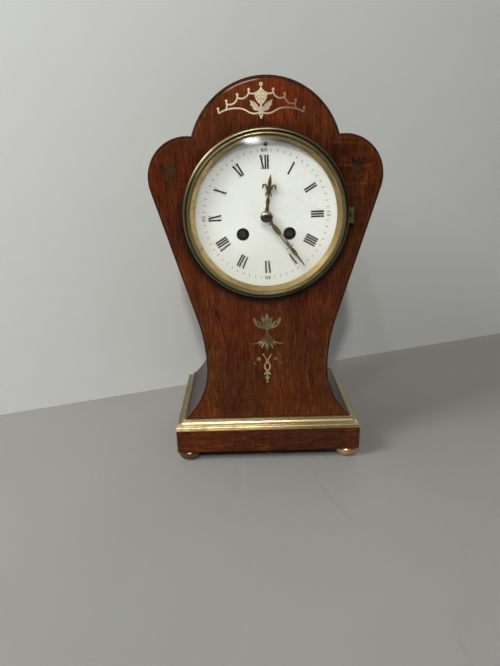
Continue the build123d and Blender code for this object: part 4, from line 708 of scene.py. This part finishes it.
pendant_veins = (
    ((0.5, 37.8), (4.5, 47.0), 0.03, CUT_WIDTH),
    ((1.3, 37.3), (8.2, 43.6), 0.03, CUT_WIDTH),
    ((1.6, 36.8), (9.4, 39.5), 0.03, CUT_WIDTH),
    ((9.0, 39.6), (12.1, 46.2), 0.03, CUT_WIDTH),
    ((0.4, 32.0), (4.8, 18.8), 0.03, CUT_WIDTH),
    ((1.0, 30.7), (7.1, 21.1), 0.03, CUT_WIDTH),
    ((0.6, -5.5), (2.6, -8.2), 0.03, CUT_WIDTH),
    ((1.5, 38.6), (2.0, 44.6), 0.05, BROAD_CUT),
    ((2.6, 38.0), (5.6, 42.6), 0.05, BROAD_CUT),
    ((1.3, 30.0), (1.9, 19.2), -0.04, BROAD_CUT),
    ((2.2, 29.4), (5.0, 21.4), -0.04, BROAD_CUT),
)
for side in (1, -1):
    for base, tip, sway in crest_veins:
        vein(crest(side, *base), crest(side, *tip), sway * side)
    punched(pendant(side, 8.0, 7.2), 0.65)
    for base, tip, sway, width in pendant_veins:
        vein(pendant(side, *base), pendant(side, *tip), sway * side, width)
on_case("inlay_engraving", cuts, wax)

# Plinth: a solid mahogany block with its grain lengthwise, a moulding of rolled brass mitred round its
# top edge and pinned from inside, and four turned brass bun feet screwed up from below. Painted shade
# makes the moulding duller to the right and darker on its returns, and the left feet darker.
PLINTH = ((0.023, 0.0048, 0.0012, 1), (0.073, 0.0178, 0.0038, 1), (0.165, 0.052, 0.014, 1))
plinth_mahogany = wooden("mahogany_plinth", *PLINTH, figure=0.6, roughness=0.20, turn=ALONG_X)
moulding_brass = metal(
    "moulding_brass", (0.98, 0.81, 0.48, 1), (0.40, 0.29, 0.125, 1),
    amount=0.6, roughness=0.24, relief=0.02, bare=0.85,
)
tree = moulding_brass.node_tree
# Painted shade: the moulding is duller to the right and darker on its returns.
shade_to_right = ease(tree, axis_place(tree, "X"), -0.04, 0.05, 0.0, 0.75)
overlay(moulding_brass, shade_to_right, (0.36, 0.275, 0.13, 1))
returns = ease(tree, axis_place(tree, "Y"), -0.056, -0.049, 0.0, 0.85)
overlay(moulding_brass, returns, (0.175, 0.137, 0.060, 1))
# Painted shade: the left feet are made darker than the right ones.
foot_brass = metal(
    "foot_brass", (0.92, 0.60, 0.33, 1), (0.115, 0.064, 0.028, 1),
    amount=0.4, roughness=0.24, bare=0.85, tarnish_and_shade_from=(0.07, -0.07),
)
dressed(plinth_mahogany, "plinth")
dressed(moulding_brass, "plinth_moulding")
dressed(foot_brass, "bun_feet")

# Bezel: a brass ring turned from a casting, hinged on the right to the seat ring in the front board.
# A gilt slip spun from thin sheet holds its convex glass from behind; painted shade dulls it all but on
# its left. The hollow of the ring is dark with patina, its lip is rubbed bright and carries a painted
# highlight, and a painted glint lightens its rim and hinge knuckles on the right.
bezel_brass = metal(
    "bezel_brass", (0.23, 0.195, 0.10, 1), (0.085, 0.070, 0.034, 1),
    amount=0.6, roughness=0.24, relief=0.02,
)
tree = bezel_brass.node_tree
out = from_dial(tree)
across = axis_place(tree, "X")
hollow = times(tree, ease(tree, out, 0.0653, 0.0657), ease(tree, out, 0.0670, 0.0674, 0.9, 0.0))
patina = times(tree, hollow, ease(tree, across, 0.01, 0.05, 1.0, 0.7))
overlay(bezel_brass, patina, (0.018, 0.016, 0.007, 1))
# The lip is rubbed bright and carries a painted highlight.
rubbed = ease(tree, out, 0.0655, 0.0651, 0.0, 0.7)
overlay(bezel_brass, rubbed, (0.46, 0.38, 0.20, 1))
# Painted glint: the rim and the hinge knuckles are lighter on the right.
rim = times(tree, ease(tree, out, 0.0682, 0.0687), ease(tree, out, 0.0691, 0.0695, 1.0, 0.2))
painted_glint = times(tree, rim, ease(tree, across, 0.02, 0.05))
overlay(bezel_brass, painted_glint, (0.62, 0.53, 0.42, 1))
# Painted shade: the slip is dulled everywhere but on its left.
slip_gilt = metal(
    "slip_gilt", (0.68, 0.49, 0.20, 1), (0.235, 0.160, 0.060, 1),
    amount=1.0, roughness=0.3, bare=0.75, tarnish_and_shade_from=(-0.06, -0.012),
)
seat_brass = metal("seat_brass", (0.40, 0.28, 0.11, 1), (0.10, 0.062, 0.024, 1), amount=0.9, roughness=0.22)
hinge_steel = metal("hinge_steel", (0.42, 0.40, 0.38, 1), (0.12, 0.09, 0.07, 1), amount=0.6, roughness=0.25)


def turned(name, profile, steps, material):
    """Closed ring turned about the dial's axis from a profile of radius and depth."""
    count = len(profile)
    points, faces = [], []
    for step in range(steps):
        angle = 2 * pi * step / steps
        points += [(radius * sin(angle), depth, DIAL_HEIGHT + radius * cos(angle)) for radius, depth in profile]
        ahead = (step + 1) % steps * count
        for index in range(count):
            after = (index + 1) % count
            faces.append((step * count + index, step * count + after, ahead + after, ahead + index))
    return mesh_object(name, points, faces, material, smooth=True)


BEZEL_RADIUS = 69.0
BEZEL_FRONT = BODY_FRONT - 9.4
BEZEL_BACK = BODY_FRONT - 2.2
LIP_RADIUS = 63.4
RIM_ROUND = 2.0
LIP_ROUND = 0.9
LIP_BACK = BEZEL_FRONT + 1.3
SKIN = 0.06
SKIN_BACK = BEZEL_BACK - 0.2
HOLLOW_STEPS = 8
BEZEL_STEPS = 240
rim_middle = (BEZEL_RADIUS - RIM_ROUND, BEZEL_BACK - 2.2)
lip_middle = (LIP_RADIUS + LIP_ROUND, BEZEL_FRONT + 0.85)
bezel_profile = [(BEZEL_RADIUS + SKIN, SKIN_BACK)]
bezel_profile += bend(rim_middle, RIM_ROUND + SKIN, 0, -85, 14)
hollow_start = bezel_profile[-1]
hollow_end = (LIP_RADIUS + 2.0 + SKIN, BEZEL_FRONT + 0.7)
for step in range(1, HOLLOW_STEPS + 1):
    share = step / HOLLOW_STEPS
    radius = hollow_start[0] + (hollow_end[0] - hollow_start[0]) * share**0.8
    bezel_profile.append((radius, hollow_start[1] + (hollow_end[1] - hollow_start[1]) * share))
bezel_profile += bend(lip_middle, LIP_ROUND + SKIN, -20, -180, 12)
bezel_profile += [(LIP_RADIUS - SKIN, LIP_BACK), (LIP_RADIUS + 0.3, LIP_BACK), (BEZEL_RADIUS - 1.2, SKIN_BACK)]
bezel_turning = turned("bezel_turning", bezel_profile, BEZEL_STEPS, bezel_brass)
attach(bezel_turning, "bezel")
dressed(bezel_brass, "bezel")
dressed(seat_brass, "seat_ring")
dressed(slip_gilt, "glass_slip")
dressed(hinge_steel, "hinge_pins")

bezel_crystal, tree, shader = new_material(
    "bezel_crystal", Transmission_Weight=1.0, IOR=1.46, Base_Color=(0.985, 0.995, 0.99, 1)
)
smears = clouds(tree, object_place(tree), 34.0, 5.0, 0.6)
feed(shader, Roughness=ease(tree, smears, 0.5, 0.8, 0.0, 0.03))
see_through(tree, shader, node(tree, "ShaderNodeLightPath").outputs["Is Shadow Ray"], (0.97, 0.98, 0.97, 1))
dressed(bezel_crystal, "bezel_glass")

# Dial: a domed copper disc fired with white enamel, with painted black numerals and minute track,
# held to the seat ring by its feet. Fine hairlines show its age; painted shade darkens its lower part.
enamel, tree, shader = new_material("white_enamel", Coat_Weight=0.4, Coat_Roughness=0.05, Roughness=0.22)
place = object_place(tree)
milk = clouds(tree, place, 24.0, 4.0, 0.6)
white = mixed(tree, milk, (0.765, 0.76, 0.710, 1), (0.710, 0.718, 0.682, 1))
# Painted shade: the enamel is darker towards the bottom.
dial_shade_low = ease(tree, axis_place(tree, "Z"), 0.224, 0.184)
white = mixed(tree, dial_shade_low, white, (0.89, 0.89, 0.86, 1), "MULTIPLY")
hair_place = node(tree, "ShaderNodeVectorMath", {0: place, 1: (0.013, 0.0, 0.021)}, operation="ADD")
hair_inputs = {"Vector": hair_place.outputs["Vector"], "Scale": 34.0}
hairs = node(tree, "ShaderNodeTexVoronoi", hair_inputs, feature="DISTANCE_TO_EDGE").outputs["Distance"]
broken = ease(tree, clouds(tree, place, 30.0, 2.0), 0.5, 0.6)
struck = ease(tree, axis_place(tree, "X"), 0.012, 0.028)
crack = times(tree, ease(tree, hairs, 0.004, 0.012, 1.0, 0.0), broken, struck, 0.2)
feed(shader, Base_Color=mixed(tree, crack, white, (0.30, 0.29, 0.26, 1)))
dressed(enamel, "dial")

DIAL_EDGE_FRONT = BODY_FRONT + 0.5
DIAL_CROWN = 0.8
DIAL_RADIUS = 60.8
DIAL_TURN = -1.4
PAINT_HEIGHT = 0.05
PAINT_ROOT = -0.02


def on_dial(angle, across, out, lift=PAINT_HEIGHT):
    """Place on the domed dial: an angle from twelve, then across and outwards at that angle."""
    way = radians(angle + DIAL_TURN)
    x = out * sin(way) + across * cos(way)
    z = out * cos(way) - across * sin(way)
    share = hypot(x, z) / DIAL_RADIUS
    y = DIAL_EDGE_FRONT - DIAL_CROWN * (1 - share**2) - lift
    return (x, y, DIAL_HEIGHT + z)


def stroke(angle, foot, head, foot_width, head_width=None, steps=4):
    """Painted stroke from its foot to its head, each an across and outwards place."""
    head_width = foot_width if head_width is None else head_width
    points, faces = [], []
    for lift in (PAINT_HEIGHT, PAINT_ROOT):
        for step in range(steps + 1):
            share = step / steps
            across = foot[0] + (head[0] - foot[0]) * share
            out = foot[1] + (head[1] - foot[1]) * share
            half = (foot_width + (head_width - foot_width) * share) / 2
            points.append(on_dial(angle, across - half, out, lift))
            points.append(on_dial(angle, across + half, out, lift))
    under = 2 * (steps + 1)
    for a in range(0, 2 * steps, 2):
        faces.append((a, a + 1, a + 3, a + 2))
        faces.append((a, a + 2, a + 2 + under, a + under))
        faces.append((a + 1, a + 1 + under, a + 3 + under, a + 3))
    faces.append((0, under, under + 1, 1))
    faces.append((2 * steps, 2 * steps + 1, under + 2 * steps + 1, under + 2 * steps))
    return points, faces


def spot(angle, out, radius, sides=20):
    """Painted round spot on the dial."""
    ring = bend((0.0, out), radius, 0, 360 - 360 / sides, sides - 1)
    return walled(*([on_dial(angle, *point, lift) for point in ring] for lift in (PAINT_HEIGHT, PAINT_ROOT)))


NUMERAL_FOOT = 37.4
NUMERAL_HEAD = 48.0
THICK = 1.5
THIN = 0.3
SERIF = 0.14
LETTER_GAP = 0.6
V_POINT = 1.2
V_THIN_SHIFT = 0.2
letter_width = {"I": 2.0, "V": 3.2, "X": 3.4}


def numeral(angle, letters):
    """Roman numeral with thick and thin strokes and hairline serifs, its feet towards the middle."""
    parts = []
    width = sum(letter_width[letter] for letter in letters)
    start = -width / 2

    def letter_stroke(foot, head, *widths):
        """Stroke over the whole height of the numeral."""
        parts.append(stroke(angle, (foot, NUMERAL_FOOT), (head, NUMERAL_HEAD), *widths))

    for letter in letters:
        middle = start + letter_width[letter] / 2
        spread = letter_width[letter] / 2 - LETTER_GAP
        if letter == "I":
            letter_stroke(middle, middle, THICK)
        if letter == "V":
            letter_stroke(middle, middle - spread, V_POINT, THICK)
            letter_stroke(middle + V_THIN_SHIFT, middle + spread, THIN)
        if letter == "X":
            letter_stroke(middle + spread, middle - spread, THICK)
            letter_stroke(middle - spread, middle + spread, THIN)
        start += letter_width[letter]
    for out in (NUMERAL_FOOT, NUMERAL_HEAD):
        parts.append(stroke(angle, (0.0, out - SERIF / 2), (0.0, out + SERIF / 2), width))
    return parts


dial_black, tree, shader = new_material("dial_black", Coat_Weight=0.3, Coat_Roughness=0.08)
wear = clouds(tree, object_place(tree), 420.0, 4.0, 0.6)
thinned = ease(tree, wear, 0.45, 0.75)
feed(shader, Base_Color=mixed(tree, thinned, (0.012, 0.012, 0.014, 1), (0.055, 0.052, 0.05, 1)))
feed(shader, Roughness=ease(tree, wear, 0.3, 0.8, 0.25, 0.45))

HOURS = ("XII", "I", "II", "III", "IIII", "V", "VI", "VII", "VIII", "IX", "X", "XI")
TRACK_INNER = 50.6
TRACK_MIDDLE = 51.9
TRACK_OUTER = 53.0
MINUTE_WIDTH = 0.4
SPOT_RADIUS = 0.55
marks = []
for hour, letters in enumerate(HOURS):
    marks += numeral(30 * hour, letters)
for minute in range(60):
    if minute % 5:
        marks.append(stroke(6 * minute, (0, TRACK_INNER), (0, TRACK_OUTER), MINUTE_WIDTH))
    elif minute % 15:
        marks.append(spot(6 * minute, TRACK_MIDDLE, SPOT_RADIUS))
on_case("dial_numerals", marks, dial_black)

dial_red, tree, shader = new_material("dial_red", Roughness=0.35, Coat_Weight=0.3)
wear = clouds(tree, object_place(tree), 420.0, 4.0, 0.6)
feed(shader, Base_Color=mixed(tree, wear, (0.24, 0.03, 0.02, 1), (0.40, 0.10, 0.07, 1)))

FIGURE_SIZE = 4.05
FIGURE_SPREAD = 1.35


def figures(text, angle, material):
    """Small painted figures on the track, curved with the dial."""
    name = "figures_" + text
    curve = bpy.data.curves.new(name, "FONT")
    curve.body = text
    curve.align_x = "CENTER"
    curve.align_y = "CENTER"
    curve.size = FIGURE_SIZE
    curve.offset = 0.05
    curve.resolution_u = 4
    flat = bpy.data.objects.new(name + "_curve", curve)
    scene.collection.objects.link(flat)
    bpy.context.view_layer.update()
    mesh = bpy.data.meshes.new_from_object(flat)
    bpy.data.objects.remove(flat)
    corners = [vertex.co for vertex in mesh.vertices]
    points = [on_dial(angle, corner.x * FIGURE_SPREAD, TRACK_MIDDLE + corner.y) for corner in corners]
    on_case(name, [(points, [tuple(polygon.vertices) for polygon in mesh.polygons])], material)


figures("60", 0, dial_black)
figures("15", 90, dial_red)
figures("30", 180, dial_black)
figures("45", 270, dial_red)

# Hands: sawn from gilt brass sheet and pierced, each driven on to its pipe, with a domed steel boss
# over the end of the centre arbor, bright above and darkened below by painted shade.
hand_gilt = metal("hand_gilt", (0.36, 0.25, 0.085, 1), (0.09, 0.055, 0.018, 1), amount=0.8, roughness=0.24)
boss_steel = metal(
    "boss_steel", (0.50, 0.42, 0.38, 1), (0.22, 0.17, 0.15, 1),
    amount=0.5, roughness=0.08, relief=0.02,
)
tree = boss_steel.node_tree
# Painted shade: the boss is darkened below its middle.
boss_painted_shade = ease(tree, axis_place(tree, "Z"), (DIAL_HEIGHT + 2.0) * MM, (DIAL_HEIGHT - 0.2) * MM, 0.0, 0.97)
overlay(boss_steel, boss_painted_shade, (0.030, 0.021, 0.024, 1))
dressed(hand_gilt, "hour_hand", "minute_hand")
dressed(boss_steel, "hand_boss")

# Movement frame: two plates of hard brass sheet, stoned to a straight grain and lacquered, held
# apart by four turned pillars that are riveted in front and screwed through the back plate.
plate_brass = metal("plate_brass", (0.74, 0.56, 0.27, 1), (0.38, 0.25, 0.10, 1), amount=0.5, roughness=0.24)
turned_brass = metal("turned_brass", (0.76, 0.58, 0.28, 1), (0.42, 0.28, 0.11, 1), amount=0.4, roughness=0.18)
polished_steel = metal(
    "polished_steel", (0.52, 0.52, 0.53, 1), (0.20, 0.17, 0.15, 1),
    amount=0.45, roughness=0.16,
)
blued_steel = metal("blued_steel", (0.06, 0.08, 0.16, 1), (0.03, 0.03, 0.05, 1), amount=0.5, roughness=0.22)
dressed(plate_brass, "front_plate", "back_plate")
dressed(turned_brass, "plate_pillars", "back_cock")

PLATE_SETBACK = 12.0
PLATE_THICK = 2.0
PLATE_GAP = 34.0
BACK_PLATE_BACK = BODY_FRONT + PLATE_SETBACK + PLATE_THICK + PLATE_GAP + PLATE_THICK
PILLAR_SPREAD = 42.5
PILLAR_ANGLES = (52.0, 128.0, 242.0, 298.0)
COCK_BACK = BACK_PLATE_BACK + 8.0
COCK_SCREW = (9.5, 36.0)


def screw_head(place, back, radius, height, turn, steps=14):
    """Round screw head on a face that looks backwards, chamfered and cut with a slot."""
    half_slot = radius * 0.16
    slot_floor = height * 0.55
    reach = acos(half_slot / radius)
    row = steps + 1
    points, faces = [], []
    for side in (0.0, pi):
        first = len(points)
        top = first + 2 * row
        base = top + row
        angles = [side + pi / 2 - reach + 2 * reach * step / steps for step in range(row)]
        for ring, level in ((radius, 0.0), (radius, height * 0.75), (radius * 0.88, height)):
            points += [(ring * cos(angle), level, ring * sin(angle)) for angle in angles]
        for start in (first, first + row):
            faces += [(a, a + row, a + row + 1, a + 1) for a in range(start, start + steps)]
        faces.append(tuple(range(top, base)))
        points += [(points[end][0], slot_floor, points[end][2]) for end in (top, base - 1)]
        faces.append((top, base, base + 1, base - 1))
    half = len(points) // 2
    faces.append((half - 2, half - 1, 2 * half - 2, 2 * half - 1))
    placed = []
    for x, level, z in points:
        across = place[0] + x * cos(turn) - z * sin(turn)
        placed.append((across, back + level, place[1] + x * sin(turn) + z * cos(turn)))
    return placed, faces


heads = []
for index, angle in enumerate(PILLAR_ANGLES):
    place = (PILLAR_SPREAD * cos(radians(angle)), DIAL_HEIGHT + PILLAR_SPREAD * sin(radians(angle)))
    heads.append(screw_head(place, BACK_PLATE_BACK, radius=3.0, height=1.6, turn=0.6 + 1.1 * index))
for index, side in enumerate((1, -1)):
    place = (side * COCK_SCREW[0], DIAL_HEIGHT + COCK_SCREW[1])
    heads.append(screw_head(place, COCK_BACK, radius=2.0, height=1.2, turn=0.3 + 0.9 * index))
on_case("plate_screws", heads, blued_steel)

# Trains: spring barrels with their coiled springs, crossed-out brass wheels on steel arbors, winding
# arbors with ratchets and clicks, and the motion work that carries the hands. The squares that come
# through the dial are dark oxidised steel, turned black deeper in by painted shade.
wheel_brass = metal("wheel_brass", (0.78, 0.60, 0.29, 1), (0.46, 0.31, 0.12, 1), amount=0.4, roughness=0.20)
barrel_brass = metal("barrel_brass", (0.74, 0.56, 0.27, 1), (0.36, 0.23, 0.09, 1), amount=0.5, roughness=0.22)
oxidised_steel_shaded_deep = metal(
    "oxidised_steel_shaded_deep", (0.05, 0.046, 0.044, 1), (0.003, 0.0028, 0.0025, 1),
    amount=0.5, roughness=0.36,
)
# Painted shade: the squares turn black deeper into the winding holes.
tree = oxidised_steel_shaded_deep.node_tree
aged = next(made for made in tree.nodes if made.type == "GROUP")
tree.links.new(ease(tree, axis_place(tree, "Y"), -0.0515, -0.0485, 0.6, 6.0), aged.inputs["Amount"])
dressed(barrel_brass, "going_barrel", "strike_barrel")
dressed(blued_steel, "going_mainspring", "strike_mainspring")
dressed(oxidised_steel_shaded_deep, "going_winding_arbor", "strike_winding_arbor", "regulator_arbor")
dressed(polished_steel, "clicks", "pallets", "fly")
dressed(wheel_brass, "intermediate_wheel", "centre_wheel", "third_wheel", "escape_wheel")
dressed(wheel_brass, "strike_second_wheel", "count_wheel", "pin_wheel", "stop_wheel", "warning_wheel")
dressed(wheel_brass, "cannon_pinion", "minute_wheel", "hour_wheel")

# Pendulum, bell and hammer: a spring strip and steel rod with a heavy brass bob and rating nut, and a
# bell of cast bell metal on its post, struck on the rim by a steel hammer.
bob_brass = metal("bob_brass", (0.72, 0.53, 0.24, 1), (0.28, 0.17, 0.06, 1), amount=0.65, roughness=0.18)
bell_metal = metal("bell_metal", (0.56, 0.50, 0.38, 1), (0.26, 0.21, 0.13, 1), amount=0.6, roughness=0.2)
dressed(blued_steel, "suspension_spring")
dressed(polished_steel, "pendulum_rod", "bell_stand", "hammer")
dressed(bob_brass, "pendulum_bob")
dressed(bell_metal, "bell")

# Back: a brass ring in the back board, drawn to the seat ring by two steel straps and their screws,
# and closed by a domed door of spun brass on a hinge, with a turned knob.
door_brass = metal("door_brass", (0.70, 0.52, 0.24, 1), (0.27, 0.17, 0.065, 1), amount=0.65, roughness=0.24)
dressed(door_brass, "back_ring", "back_door")
dressed(polished_steel, "straps", "strap_screws")
